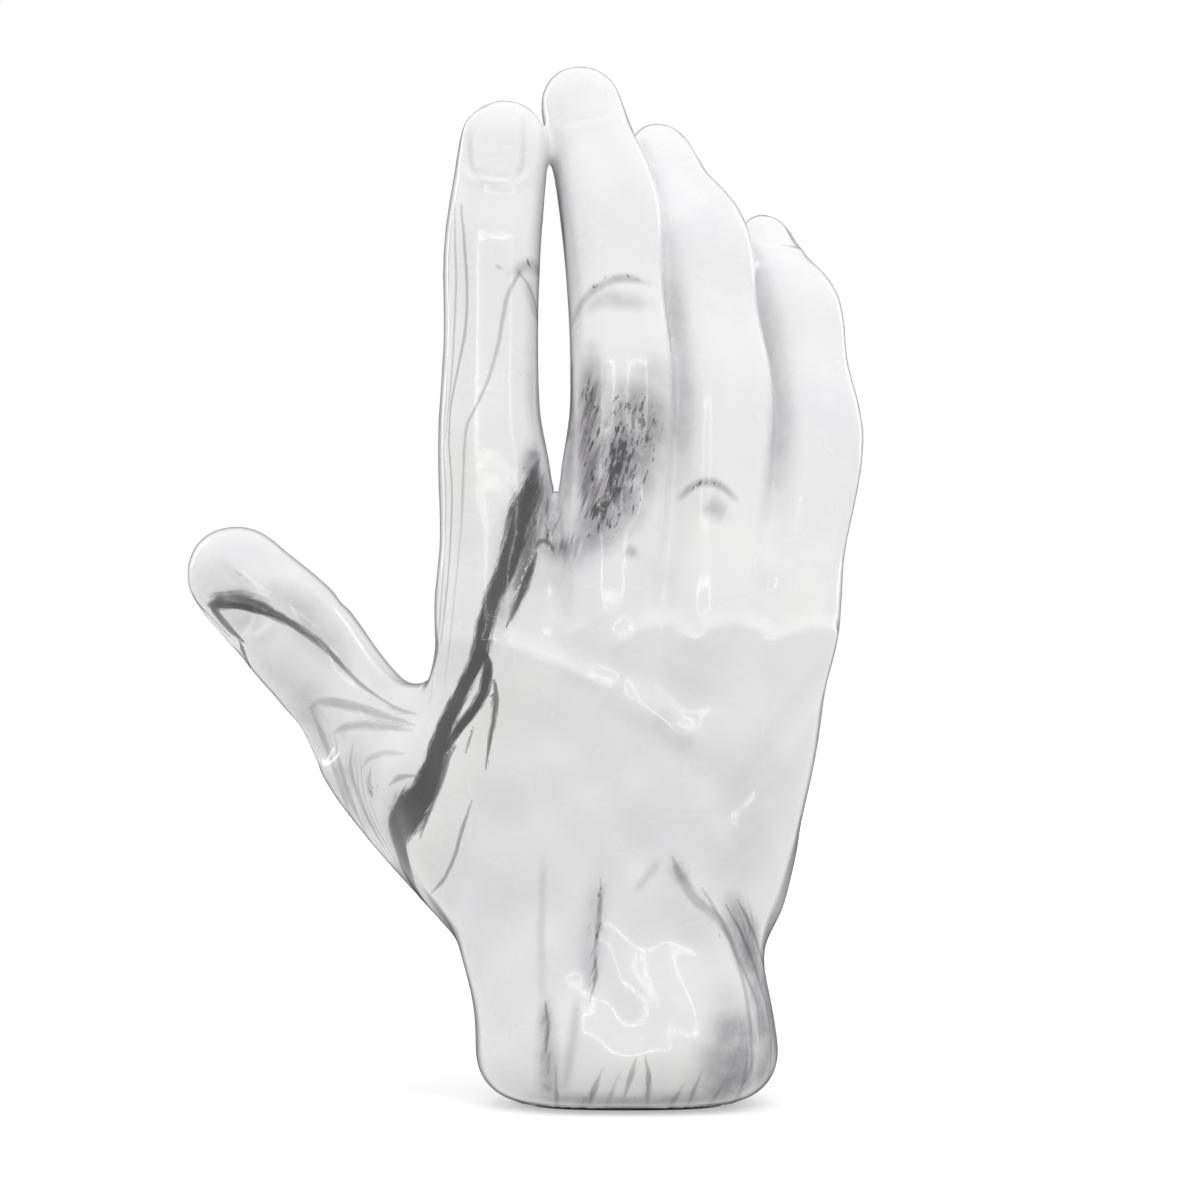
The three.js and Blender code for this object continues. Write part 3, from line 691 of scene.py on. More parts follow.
FRONT_HAZE_AND_SHADE = (
    # index, fork, middle and ring finger
    # painted shade in the groove round the first finger's nail
    (((470, 116), (470, 150), (474, 172), (486, 182), (508, 182), (520, 172), (523, 150), (523, 116)),
     (3, 3), 0.09),
    (((512, 273), (529, 266), (544, 274)), (5, 9, 5), 0.26),
    (((527, 280), (533, 303), (540, 328)), (8, 9, 5), 0.2),
    (((572, 324), (584, 300), (602, 285), (624, 278), (650, 284)), (6, 6, 5, 5, 3), 0.26),
    (((583, 309), (610, 300), (650, 304)), (8, 12, 8), 0.16),
    # painted shade in the fork between the first two fingers
    (((545, 474), (548, 520), (556, 548), (580, 545)), (9, 14, 15, 11), 0.34),
    (((534, 448), (531, 478)), (10, 12), 0.4),
    (((536, 460), (520, 540), (492, 640)), (18, 24, 12), 0.24),
    (((654, 384), (636, 424), (622, 470), (606, 512), (578, 552)), (32, 42, 36, 30, 20), 0.5),
    (((590, 352), (590, 440), (595, 516)), (14, 20, 16), 0.46),
    (((636, 396), (662, 384)), (10, 7), 0.14),
    # painted shade down the middle finger's left flank, in the slot beside the first finger
    (((556, 160), (564, 250), (569, 330), (571, 420), (568, 490)), (8, 12, 15, 15, 11), 0.42),
    # painted shade on the ring finger's left side, next to the middle finger
    (((670, 270), (678, 340), (682, 420), (676, 476)), (13, 16, 18, 14), 0.12),
    # painted shade on the little finger's left side, next to the ring finger
    (((766, 300), (774, 400), (776, 500)), (16, 22, 20), 0.11),
    (((678, 499), (697, 484), (717, 484), (737, 500)), (4, 5, 5, 4), 0.28),
    (((706, 502), (726, 515)), (13, 12), 0.2),
    (((626, 548), (636, 555)), (7, 6), 0.24),
    # thumb
    (((405, 790), (395, 840), (420, 898)), (24, 22, 10), 0.2),
    (((210, 597), (240, 594), (274, 608)), (5, 7, 4), 0.22),
    (((232, 624), (262, 616)), (10, 9), 0.1),
    # painted shade, broad and faint, over the thumb's middle
    (((236, 656), (286, 690), (332, 740), (372, 810)), (26, 32, 34, 30), 0.09),
    (((262, 690), (300, 735), (334, 790), (372, 846)), (14, 18, 20, 16), 0.13),
    (((290, 690), (312, 704), (330, 750)), (10, 14, 14), 0.12),
    # painted shade on the thumb's back, above its long vein
    (((262, 586), (290, 600), (320, 634), (352, 672)), (14, 22, 20, 10), 0.17),
    # back and wrist
    (((652, 712), (694, 750)), (16, 12), 0.08),
    (((730, 1006), (738, 1052), (724, 1108)), (26, 42, 40), 0.4),
    (((732, 900), (756, 975), (768, 1040), (760, 1094)), (13, 22, 22, 22), 0.5),
    (((760, 760), (747, 830), (737, 890)), (34, 36, 28), 0.07),
    # painted shade along the foot's lower edge
    (((536, 1100), (640, 1104), (744, 1098)), (14, 17, 20), 0.4),
    (((597, 880), (592, 940), (588, 995)), (12, 14, 8), 0.14),
    (((543, 856), (541, 940), (543, 1010)), (4, 5, 5), 0.1),
    (((546, 1000), (547, 1052), (550, 1100)), (8, 12, 13), 0.26),
    (((578, 995), (571, 1050), (562, 1100)), (4, 6, 5), 0.14),
    (((674, 862), (684, 884)), (9, 8), 0.2),
    (((637, 890), (658, 862)), (5, 5), 0.14),
)
FRONT_SPECKS = (
    (((652, 388), (634, 426), (621, 470), (606, 510), (580, 546)), (30, 36, 34, 28, 20), 1.0),
    (((612, 400), (634, 412), (652, 438)), (9, 13, 7), 1.2),
    (((624, 420), (618, 465), (606, 500), (588, 532)), (13, 18, 16, 10), 1.25),
    (((590, 354), (591, 450), (597, 512)), (14, 19, 16), 0.75),
    (((575, 306), (600, 283), (622, 277), (646, 282)), (7, 6, 6, 5), 0.6),
    (((682, 496), (700, 483), (718, 484), (736, 500)), (6, 6, 6, 6), 0.6),
    (((536, 460), (524, 520), (506, 566)), (18, 24, 16), 0.6),
    (((544, 515), (551, 556)), (12, 14), 0.7),
    (((601, 872), (596, 950), (589, 1014)), (12, 12, 10), 0.5),
    (((674, 862), (710, 905), (736, 970)), (9, 9, 7), 0.3),
    (((377, 776), (371, 796)), (8, 8), 0.6),
)
# Where the film is drawn out into soft short streaks.
FRONT_STREAKS = (
    (((738, 1010), (748, 1050), (734, 1100)), (24, 28, 28), 0.24),
    (((736, 900), (757, 965), (772, 1030), (768, 1090)), (9, 13, 13, 12), 0.3),
    (((590, 370), (590, 450), (594, 524)), (15, 21, 18), 0.62),
    (((628, 420), (616, 470), (600, 520)), (26, 28, 24), 0.5),
    (((550, 490), (558, 540), (590, 548)), (12, 16, 14), 0.45),
    (((598, 880), (594, 940), (588, 1004)), (10, 12, 8), 0.34),
    (((545, 990), (547, 1050), (550, 1100)), (7, 9, 9), 0.3),
    (((676, 860), (712, 908), (738, 960)), (8, 9, 8), 0.2),
)
# Bundles of parallel hair lines: path, gap between lines and reach to each side in millimetres, tone.
FRONT_BUNDLES = (
    (((352, 745), (356, 785), (370, 825), (392, 862), (414, 895)), 1.5, 4.2, 0.42),
    (((736, 892), (748, 930), (760, 972), (769, 1012), (772, 1050), (766, 1094)), 1.25, 3.2, 0.5),
)
# The palm side isn't in the photograph; its marbling is made up in the same manner, in millimetres.
PALM_VEINS = (
    (((-15, 124), (-12, 115), (-6, 107), (-3, 99), (5, 92), (10, 83), (18, 75), (22, 65), (29, 57), (32, 45)),
     (0.5, 1.3, 1.8, 1.5, 1.7, 1.3, 1.4, 1, 0.9, 0.4), (0.7, 0.9, 0.95, 0.9, 0.95, 0.8, 0.8, 0.6, 0.5, 0.4),
     (1, 0.8, 0.7, 0.7, 0.6, 0.6, 0.7, 0.8, 0.9, 0.9)),
    (((-37, 37), (-34, 31), (-31, 24), (-27, 17), (-26, 7)),
     (0.4, 1, 1.1, 0.8, 0.4), (0.5, 0.8, 0.75, 0.6, 0.4), 0.7),
    (((-78, 111), (-70, 105), (-60, 94), (-50, 88), (-42, 86)), (0.3, 0.9, 0.7, 0.6, 0.3), 0.2, 0.7),
    (((-32, 182), (-27, 172), (-29, 158), (-31, 146), (-26, 132)), (0.3, 0.5, 0.4, 0.5, 0.3), 0.13, 0.5),
    (((36, 132), (40, 122), (37, 110), (38, 98)), (0.3, 0.7, 0.6, 0.3), 0.16, 0.6),
    (((10, 34), (12, 24), (8, 14), (9, 5)), (0.3, 0.6, 0.5, 0.4), 0.2, 0.9),
    (((-10, 28), (-13, 19), (-9, 11), (-10, 5)), (0.3, 0.7, 0.6, 0.4), 0.24, 0.9),
)
PALM_BRANCHES = (
    (((-3, 100), (-6, 90), (-2, 80), (-3, 68), (1, 58)),
     (0.9, 0.8, 0.6, 0.5, 0.3), (0.8, 0.6, 0.5, 0.4, 0.3), 0.8),
    (((12, 82), (10, 72), (14, 62), (12, 50)), (0.8, 0.6, 0.5, 0.3), (0.7, 0.5, 0.4, 0.3), 0.8),
    (((-31, 104), (-36, 94), (-34, 80), (-26, 66), (-22, 50)), (0.3, 1, 1, 0.9, 0.3), 0.11, 0.9),
    (((-38, 98), (-43, 88), (-40, 74), (-32, 60), (-29, 46)), (0.3, 0.9, 0.9, 0.8, 0.3), 0.11, 0.9),
)
PALM_HAZE = (
    (((-14, 122), (-4, 104), (8, 92)), (6, 8, 6), 0.24),
    (((8, 92), (20, 73), (30, 56)), (6, 6, 5), 0.2),
    (((-5, 172), (-2, 160), (2, 152)), (6, 7, 5), 0.16),
    (((-36, 40), (-26, 14)), (4, 5), 0.18),
    (((-24, 6), (0, 7), (26, 6)), (4, 5, 5), 0.16),
)
PALM_SPECKS = (
    (((-5, 172), (-2, 160), (2, 152)), (5, 6, 4), 0.6),
    (((-12, 118), (-2, 102), (8, 92)), (6, 6, 5), 0.6),
    (((20, 72), (30, 56)), (5, 4), 0.5),
)
PALM_STREAKS = (
    (((-12, 118), (-2, 102), (8, 92)), (5, 5, 4), 0.3),
    (((-24, 6), (0, 7), (26, 6)), (4, 5, 4), 0.15),
)
PALM_BUNDLES = (
    (((40, 122), (39, 100), (33, 76), (29, 52), (28, 30)), 1.9, 4.0, 0.4),
)
STROKE_APART = 37
THIN_END = 0.3
CLOUD_SOFT, CLOUD_REACH, CLOUD_END = 1.5, 1.6, 0.22
BUNDLE_EDGE, BUNDLE_END = 0.5, 0.3
VEIN_LAYERS = ("vein", "branch")
VEIN_FIELDS = ("depth", "off", "half", "along", "tone", "fray")
marble_names = [f"{layer}_{field}" for layer in VEIN_LAYERS for field in VEIN_FIELDS]
marble_names += ["haze_and_shade", "specks", "streaks", "bundle", "bundle_tone"]
values_of = {name: np.zeros(len(skin)) for name in marble_names}
pulls = {layer: np.zeros(len(skin)) for layer in VEIN_LAYERS}
for layer in VEIN_LAYERS:
    values_of[f"{layer}_depth"] -= VEIN_SPILL
    values_of[f"{layer}_half"] += 1


def along_stroke(values, share):
    values = np.atleast_1d(values)
    return np.interp(share, np.linspace(0, 1, len(values)), values)


def lay_veins(layer, strokes, lay, scale):
    """Veins keep how deep a point lies in them (1 in the middle, 0 at the edge), how far to which side of
    them, how far along them, and their half width. Where two lie close, the darker one has the point. Thin
    ends are paler."""
    for number, (points, widths, tones, frays) in enumerate(strokes):
        path = lay(points)
        near, gaps, share, hands = reach(path, max(widths) * scale * (1 + VEIN_SPILL))
        half = along_stroke(widths, share) * scale
        tone = along_stroke(tones, share)
        laid = {"depth": 1 - gaps / half, "off": gaps * hands, "half": half}
        laid["fray"] = along_stroke(frays, share)
        laid["along"] = share * np.linalg.norm(np.diff(path, axis=0), axis=1).sum() + number * STROKE_APART
        laid["tone"] = tone * (THIN_END + (1 - THIN_END) * np.minimum(half / (np.median(widths) * scale), 1))
        pull = (laid["depth"] + VEIN_SPILL) * tone
        stronger = pull > pulls[layer][near]
        pulls[layer][near[stronger]] = pull[stronger]
        for field, value in laid.items():
            values_of[f"{layer}_{field}"][near[stronger]] = value[stronger]


def lay_clouds(cloud, strokes, lay, scale):
    for points, widths, tone in strokes:
        near, gaps, share, _ = reach(lay(points), max(widths) * scale * CLOUD_REACH)
        soft = tone * (1 - ramp(gaps / (along_stroke(widths, share) * scale), 0, CLOUD_SOFT))
        soft *= ramp(np.minimum(share, 1 - share), -CLOUD_END / 2, CLOUD_END)
        cloud[near] = np.maximum(cloud[near], soft)


def lay_bundles(strokes, lay):
    for points, gap, limit, tone in strokes:
        near, gaps, share, hands = reach(lay(points), limit)
        present = tone * (1 - ramp(gaps / limit, BUNDLE_EDGE, 1))
        present *= ramp(np.minimum(share, 1 - share), 0, BUNDLE_END)
        stronger = present > values_of["bundle_tone"][near]
        values_of["bundle"][near[stronger]] = (gaps * hands)[stronger] / gap
        values_of["bundle_tone"][near[stronger]] = present[stronger]


lay_veins("vein", FRONT_VEINS, from_front, PIXEL)
lay_veins("vein", PALM_VEINS, from_palm, 1)
lay_veins("branch", FRONT_BRANCHES, from_front, PIXEL)
lay_veins("branch", PALM_BRANCHES, from_palm, 1)
clouds = {"haze_and_shade": (FRONT_HAZE_AND_SHADE, PALM_HAZE), "specks": (FRONT_SPECKS, PALM_SPECKS)}
clouds["streaks"] = (FRONT_STREAKS, PALM_STREAKS)
for name, (front_strokes, palm_strokes) in clouds.items():
    lay_clouds(values_of[name], front_strokes, from_front, PIXEL)
    lay_clouds(values_of[name], palm_strokes, from_palm, 1)
lay_bundles(FRONT_BUNDLES, from_front)
lay_bundles(PALM_BUNDLES, from_palm)
for name, values in values_of.items():
    fine.attributes.new(name, "FLOAT", "POINT").data.foreach_set("value", values)

# The film is printed ragged: noise that is drawn out along the veins eats into their edges. Over it lies a
# thick clear lacquer.
FILM_WHITE = (0.86, 0.86, 0.865, 1)
FILM_SHADE = (0.76, 0.76, 0.79, 1)
FILM_WARM = (0.87, 0.865, 0.845, 1)
FILM_AND_SHADE_GREY = (0.105, 0.092, 0.112, 1)
FILM_CHARCOAL = (0.019, 0.0165, 0.02, 1)
FILM_FALL = 2.0
FLOW_TURN = (0, math.radians(18), 0)
FLOW_STRETCH = (1, 1, 4.5)
SPECK_STRETCH = (1, 1, 3.2)
STREAK_STRETCH = (1, 1, 9)
FULL_TURN = 2 * math.pi
WISP_SCALE, CLOUD_SCALE, PATCH_SCALE, MOTTLE_SCALE, WARM_SCALE = 420.0, 60.0, 160.0, 240.0, 24.0
SPECK_SCALE, STREAK_SCALE = 1100.0, 900.0
# How noise eats into a vein: its streaks per millimetre across and along the vein, and its swings, the vein's
# edges, wear and thinning, each as a share of the fraying and a fixed part.
COARSE_STREAKS, THIN_STREAKS = (1.1, 0.16), (3.5, 0.35)
COARSE_SWING, THIN_SWING = (2.6, 0.3), (1.6, 0.2)
EDGE_LOW, EDGE_HIGH, MOST_SLACK = (-0.5, -0.2), (0.7, 0.2), 1.2
WEAR_BAND, WORN_TONE = (0.55, 0.72), (-0.6, 0.97)
PATCH_BAND, PATCH_TONE = (0.3, 0.5), (-0.2, 1.0)
# Bands of noise and what they are turned into: haze and painted shade, specks, streaks, hair lines, tints and
# roughness.
MIST_BAND = (0.3, 0.7, 0.75, 1.2)
ONSET_BAND = (0.0, 0.5)
SPECK_LEVEL, SPECK_BAND, SPECK_TONE = (-0.24, 0.71), (-0.02, 0.14), 0.8
STREAK_PUSH, STREAK_BAND = 0.3, (0.54, 0.9, 0.0, 0.7)
HAIR_SWAY, HAIR_WISP, HAIR_BAND, HAIR_PATCH = 2.6, 0.4, (0.45, 1.0), (0.34, 0.64, 0.08, 0.7)
WARM_BAND, SHADE_BAND = (0.5, 0.75), (0.45, 0.75, 0.0, 0.5)
RESIN_ROUGH, LACQUER_ROUGH = (0.3, 0.7, 0.2, 0.32), 0.05
WAVY_SCALE, WAVY_STRENGTH, WAVY_DEPTH = 220.0, 0.12, 0.1 * MM
PEEL_SCALE, PEEL_STRENGTH, PEEL_DEPTH = 1700.0, 0.28, 0.05 * MM
SHARP_EDGE = 50
marble, tree, shader = new_material("marbled_resin")
place = object_space(tree)
flow = object_space(tree, FLOW_TURN, FLOW_STRETCH)
wisp = noise(tree, flow, WISP_SCALE, 5.0, 0.6)
cloudy = noise(tree, place, CLOUD_SCALE, 3.0, 0.5)
patchy = noise(tree, flow, PATCH_SCALE, 2.0)
value_of = {
    name: add_node(tree, "Attribute", {"attribute_name": name}).outputs["Fac"] for name in marble_names
}


def swing(value, amount):
    """Noise as a swing of some amount to both sides of nothing."""
    return maths(tree, "MULTIPLY", maths(tree, "SUBTRACT", value, 0.5), amount)


def ink_of(layer):
    """One layer's ink. Noise drawn out along the veins eats into their edges and wears them. The signed
    distance draws a thin vein sharper than the skin's points lie, and the depth kept there bounds it."""
    value = {field: value_of[f"{layer}_{field}"] for field in VEIN_FIELDS}

    def streaks(across, along):
        off = maths(tree, "MULTIPLY", value["off"], across)
        on = maths(tree, "MULTIPLY", value["along"], along)
        return noise(tree, add_node(tree, "CombineXYZ", X=off, Y=on).outputs[0], 1.0, 4.0, 0.6)

    fray = value["fray"]
    coarse, thin = streaks(*COARSE_STREAKS), streaks(*THIN_STREAKS)
    off_share = maths(tree, "DIVIDE", maths(tree, "ABSOLUTE", value["off"]), value["half"])
    slack = maths(tree, "MINIMUM", maths(tree, "DIVIDE", SKIN_GRAIN / 2, value["half"]), MOST_SLACK)
    bound = maths(tree, "ADD", value["depth"], slack)
    depth = maths(tree, "MINIMUM", maths(tree, "SUBTRACT", 1.0, off_share), bound)
    ragged = maths(tree, "ADD", depth, swing(coarse, maths(tree, "MULTIPLY_ADD", fray, *COARSE_SWING)))
    ragged = maths(tree, "ADD", ragged, swing(thin, maths(tree, "MULTIPLY_ADD", fray, *THIN_SWING)))
    soft = maths(tree, "MAXIMUM", fray, maths(tree, "SUBTRACT", 1.0, value["tone"]))
    low, high = (maths(tree, "MULTIPLY_ADD", soft, *edge) for edge in (EDGE_LOW, EDGE_HIGH))
    ink = maths(tree, "MULTIPLY", step(tree, ragged, low, high), value["tone"])
    worn = step(tree, thin, *WEAR_BAND, 1.0, maths(tree, "MULTIPLY_ADD", fray, *WORN_TONE))
    thinned = step(tree, patchy, *PATCH_BAND, maths(tree, "MULTIPLY_ADD", fray, *PATCH_TONE), 1.0)
    return maths(tree, "MULTIPLY", maths(tree, "MULTIPLY", ink, worn), thinned)


mottle = noise(tree, place, MOTTLE_SCALE, 3.0, 0.5)
# Film haze and painted shade alike, mottled by noise.
mist_and_shade = maths(tree, "MULTIPLY", value_of["haze_and_shade"], step(tree, mottle, *MIST_BAND))
dots = noise(tree, object_space(tree, FLOW_TURN, SPECK_STRETCH), SPECK_SCALE, 4.0, 0.6)
sparse = maths(tree, "MULTIPLY_ADD", value_of["specks"], *SPECK_LEVEL)
speckle = step(tree, maths(tree, "SUBTRACT", dots, sparse), *SPECK_BAND)
speckle = maths(tree, "MULTIPLY", speckle, step(tree, value_of["specks"], *ONSET_BAND))
drawn = noise(tree, object_space(tree, FLOW_TURN, STREAK_STRETCH), STREAK_SCALE, 3.0, 0.55)
pulled = step(tree, maths(tree, "MULTIPLY_ADD", value_of["streaks"], STREAK_PUSH, drawn), *STREAK_BAND)
pulled = maths(tree, "MULTIPLY", pulled, step(tree, value_of["streaks"], *ONSET_BAND))
wave = maths(tree, "ADD", value_of["bundle"], swing(cloudy, HAIR_SWAY))
wave = maths(tree, "ADD", wave, swing(wisp, HAIR_WISP))
wave = maths(tree, "SINE", maths(tree, "MULTIPLY", wave, FULL_TURN))
hairs = maths(tree, "MULTIPLY", step(tree, wave, *HAIR_BAND), value_of["bundle_tone"])
hairs = maths(tree, "MULTIPLY", hairs, step(tree, patchy, *HAIR_PATCH))


def cover(amount, under, over):
    """Lays a film over another. The amount is as the eye takes it, so the light let through falls faster."""
    through = maths(tree, "POWER", maths(tree, "SUBTRACT", 1.0, amount, clamp=True), FILM_FALL)
    return blend(tree, maths(tree, "SUBTRACT", 1.0, through), under, over)


warm = noise(tree, place, WARM_SCALE, 2.0)
colour = blend(tree, step(tree, warm, *WARM_BAND), FILM_WHITE, FILM_WARM)
colour = blend(tree, step(tree, cloudy, *SHADE_BAND), colour, FILM_SHADE)
# Grey film haze and painted shade laid over the skin's tint.
colour = cover(mist_and_shade, colour, FILM_AND_SHADE_GREY)
colour = cover(hairs, colour, FILM_CHARCOAL)
colour = cover(pulled, colour, FILM_AND_SHADE_GREY)
colour = cover(maths(tree, "MULTIPLY", speckle, SPECK_TONE), colour, FILM_CHARCOAL)
for layer in VEIN_LAYERS[::-1]:
    colour = cover(ink_of(layer), colour, FILM_CHARCOAL)
feed(tree, shader.inputs["Base Color"], colour)
feed(tree, shader.inputs["Roughness"], step(tree, cloudy, *RESIN_ROUGH))
shader.inputs["Coat Weight"].default_value = 1.0
shader.inputs["Coat Roughness"].default_value = LACQUER_ROUGH
bump(tree, shader, noise(tree, place, WAVY_SCALE, 2.0), WAVY_STRENGTH, WAVY_DEPTH)
orange_peel = noise(tree, place, PEEL_SCALE, 2.0)
peel = add_node(tree, "Bump", Height=orange_peel, Strength=PEEL_STRENGTH, Distance=PEEL_DEPTH)
feed(tree, shader.inputs["Coat Normal"], peel.outputs[0])
fine.materials.clear()
fine.materials.append(marble)
fine.polygons.foreach_set("use_smooth", np.ones(len(fine.polygons), bool))
fine.set_sharp_from_angle(angle=math.radians(SHARP_EDGE))
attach(hand, "root")
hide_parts("hand_shell")

# Plaster weight
# Casting plaster poured into the wrist's hollow as ballast, up to below the palm, round the wires' ends.
# It stays as drawn, chalky and full of small air holes.
PLASTER = (0.74, 0.71, 0.66, 1)
PLASTER_DAMP = (0.60, 0.57, 0.52, 1)
PLASTER_ROUGH = 0.92
DAMP_SCALE, DAMP_BAND = 90.0, (0.35, 0.7)
AIR_HOLES, AIR_HOLE_BAND = 520.0, (0.1, 0.3)
PLASTER_BUMP, PLASTER_DEPTH = 0.6, 0.3 * MM
plaster, tree, shader = new_material("plaster")
place = object_space(tree)
damp = noise(tree, place, DAMP_SCALE, 6.0, 0.65)
feed(tree, shader.inputs["Base Color"], blend(tree, step(tree, damp, *DAMP_BAND), PLASTER, PLASTER_DAMP))
shader.inputs["Roughness"].default_value = PLASTER_ROUGH
holes = add_node(tree, "TexVoronoi", Vector=place, Scale=AIR_HOLES).outputs["Distance"]
pitted = maths(tree, "ADD", step(tree, holes, *AIR_HOLE_BAND), damp)
bump(tree, shader, pitted, PLASTER_BUMP, PLASTER_DEPTH)
dress(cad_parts["plaster_weight"], plaster)

# Base plate
# A plate of brown hardboard let into the wrist's mouth and glued there, which keeps the plaster in.
# It stays as drawn, with the pressed board's fibres.
BOARD = (0.24, 0.13, 0.065, 1)
BOARD_DARK = (0.13, 0.07, 0.035, 1)
FIBRE_TURN, FIBRE_STRETCH, FIBRE_SCALE = (0, 0, math.radians(25)), (1, 5, 1), 900.0
FIBRE_BAND, BOARD_ROUGH = (0.35, 0.65), (0.3, 0.7, 0.75, 0.55)
FIBRE_BUMP, FIBRE_DEPTH = 0.5, 0.1 * MM
board, tree, shader = new_material("hardboard")
fibres = noise(tree, object_space(tree, FIBRE_TURN, FIBRE_STRETCH), FIBRE_SCALE, 6.0, 0.7)
feed(tree, shader.inputs["Base Color"], blend(tree, step(tree, fibres, *FIBRE_BAND), BOARD_DARK, BOARD))
feed(tree, shader.inputs["Roughness"], step(tree, fibres, *BOARD_ROUGH))
bump(tree, shader, fibres, FIBRE_BUMP, FIBRE_DEPTH)
dress(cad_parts["base_plate"], board)

# Base pad
# A die-cut pad of felt, 0.8 mm thick, stuck under the plate and the flat rim so the resin doesn't scratch.
# Its edge is soft and a little uneven, and its face has a short nap.
PAD_SIDES = 240
PAD_EDGE = ((0.0, 0.35), (0.12, 0.12), (0.3, 0.0), (0.55, 0.02), (0.8, 0.14))
PAD_RINGS = 14
PAD_MIDDLE = 1
PAD_NAP = 0.03
# Two crossing waves of the nap, in radians per millimetre across and along the pad.
PAD_NAP_WAVES = ((5.1, 3.7), (-2.9, 7.3))
PAD_FELT = (0.075, 0.075, 0.08, 1)
PAD_FELT_DARK = (0.04, 0.04, 0.043, 1)
FUZZ_SCALE, MATTED_SCALE = 2600.0, 300.0
FUZZ_BAND, MATTED_BAND = (0.35, 0.65), (0.3, 0.6, 0.5, 1.0)
FELT_ROUGH, FELT_SHEEN, FELT_BUMP, FELT_DEPTH = 0.95, 0.4, 0.7, 0.2 * MM
pad_low, pad_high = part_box("base_pad")
pad_height = (pad_high.z - pad_low.z) / MM
rim = np.unique(np.round([v.co[:2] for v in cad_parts["base_pad"].data.vertices], 6), axis=0) / MM
rim = rim[np.hypot(*rim.T) > PAD_MIDDLE]
rim = rim[np.argsort(np.arctan2(rim[:, 1], rim[:, 0]))]
rim = np.concatenate((rim, rim[:1]))
along = np.concatenate(([0], np.cumsum(np.hypot(*np.diff(rim, axis=0).T))))
marks = np.linspace(0, along[-1], PAD_SIDES, endpoint=False)
rim = np.stack([np.interp(marks, along, rim[:, k]) for k in range(2)], axis=1)
inner = np.linspace(1, 0, PAD_RINGS + 1)[1:-1]
levels = [(scale, 0.0, PAD_EDGE[0][1]) for scale in inner[::-1]]
levels += [(1, height, inset) for height, inset in PAD_EDGE]
levels += [(scale, pad_height, PAD_EDGE[-1][1]) for scale in inner]
form = bmesh.new()
rings = []
for scale, height, inset in levels:
    reach_out = np.hypot(*rim.T)
    ring = rim * ((reach_out - inset) / reach_out * scale)[:, None]
    nap = PAD_NAP * np.sin(ring @ np.array(PAD_NAP_WAVES).T).mean(1)
    heights = np.clip(height + nap * (0 < height < pad_height), 0, pad_height)
    rings.append([form.verts.new(Vector((x, y, z)) * MM) for (x, y), z in zip(ring, heights)])
for ring, after in zip(rings, rings[1:]):
    for number in range(PAD_SIDES):
        following = (number + 1) % PAD_SIDES
        form.faces.new((ring[number], ring[following], after[following], after[number]))
form.faces.new(rings[0][::-1])
form.faces.new(rings[-1])
bmesh.ops.recalc_face_normals(form, faces=form.faces)
pad_mesh = bpy.data.meshes.new("pad")
form.to_mesh(pad_mesh)
form.free()
pad = bpy.data.objects.new("pad", pad_mesh)
bpy.context.scene.collection.objects.link(pad)
felt, tree, shader = new_material("felt")
fuzz = noise(tree, object_space(tree), FUZZ_SCALE, 6.0, 0.75)
matted = noise(tree, object_space(tree), MATTED_SCALE, 4.0)
felt_share = maths(tree, "MULTIPLY", step(tree, fuzz, *FUZZ_BAND), step(tree, matted, *MATTED_BAND))
feed(tree, shader.inputs["Base Color"], blend(tree, felt_share, PAD_FELT_DARK, PAD_FELT))
shader.inputs["Roughness"].default_value = FELT_ROUGH
shader.inputs["Sheen Weight"].default_value = FELT_SHEEN
bump(tree, shader, fuzz, FELT_BUMP, FELT_DEPTH)
pad_mesh.materials.append(felt)
pad_mesh.polygons.foreach_set("use_smooth", np.ones(len(pad_mesh.polygons), bool))
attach(pad, "root")
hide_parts("base_pad")

# Floor
# A wide white studio sheet under the hand. It runs out to white and keeps only the soft shadow at the wrist.
FLOOR_SIDE = 12
FLOOR_DROP = 0.05 * MM
FLOOR_WHITE, FLOOR_GREY = (0.72, 0.72, 0.72, 1), (0.7, 0.7, 0.7, 1)
PAPER_SCALE, PAPER_BAND, PAPER_ROUGH = 400.0, (0.3, 0.7), 0.9
FLOOR_LIFT_NEAR, FLOOR_LIFT_FAR = 0.36, 0.78
FLOOR_NEAR, FLOOR_FAR = 0.1, 1.2
sheet_mesh = bpy.data.meshes.new("floor")
SQUARE = ((-0.5, -0.5), (0.5, -0.5), (0.5, 0.5), (-0.5, 0.5))
sheet = [(x * FLOOR_SIDE, y * FLOOR_SIDE, -FLOOR_DROP) for x, y in SQUARE]
sheet_mesh.from_pydata(sheet, [], [(0, 1, 2, 3)])
floor = bpy.data.objects.new("floor", sheet_mesh)
floor.visible_glossy = False
bpy.context.scene.collection.objects.link(floor)
paper, tree, shader = new_material("paper")
grain = noise(tree, object_space(tree), PAPER_SCALE)
feed(tree, shader.inputs["Base Color"], blend(tree, step(tree, grain, *PAPER_BAND), FLOOR_WHITE, FLOOR_GREY))
shader.inputs["Roughness"].default_value = PAPER_ROUGH
shader.inputs["Specular IOR Level"].default_value = 0.0
shader.inputs["Emission Color"].default_value = (1, 1, 1, 1)
rays = add_node(tree, "LightPath").outputs
seen = maths(tree, "MAXIMUM", rays["Is Camera Ray"], rays["Is Glossy Ray"])
away = add_node(tree, "VectorMath", {"operation": "LENGTH"}, Vector=object_space(tree)).outputs["Value"]
lift = step(tree, away, FLOOR_NEAR, FLOOR_FAR, FLOOR_LIFT_NEAR, FLOOR_LIFT_FAR)
feed(tree, shader.inputs["Emission Strength"], maths(tree, "MULTIPLY", seen, lift))
sheet_mesh.materials.append(paper)
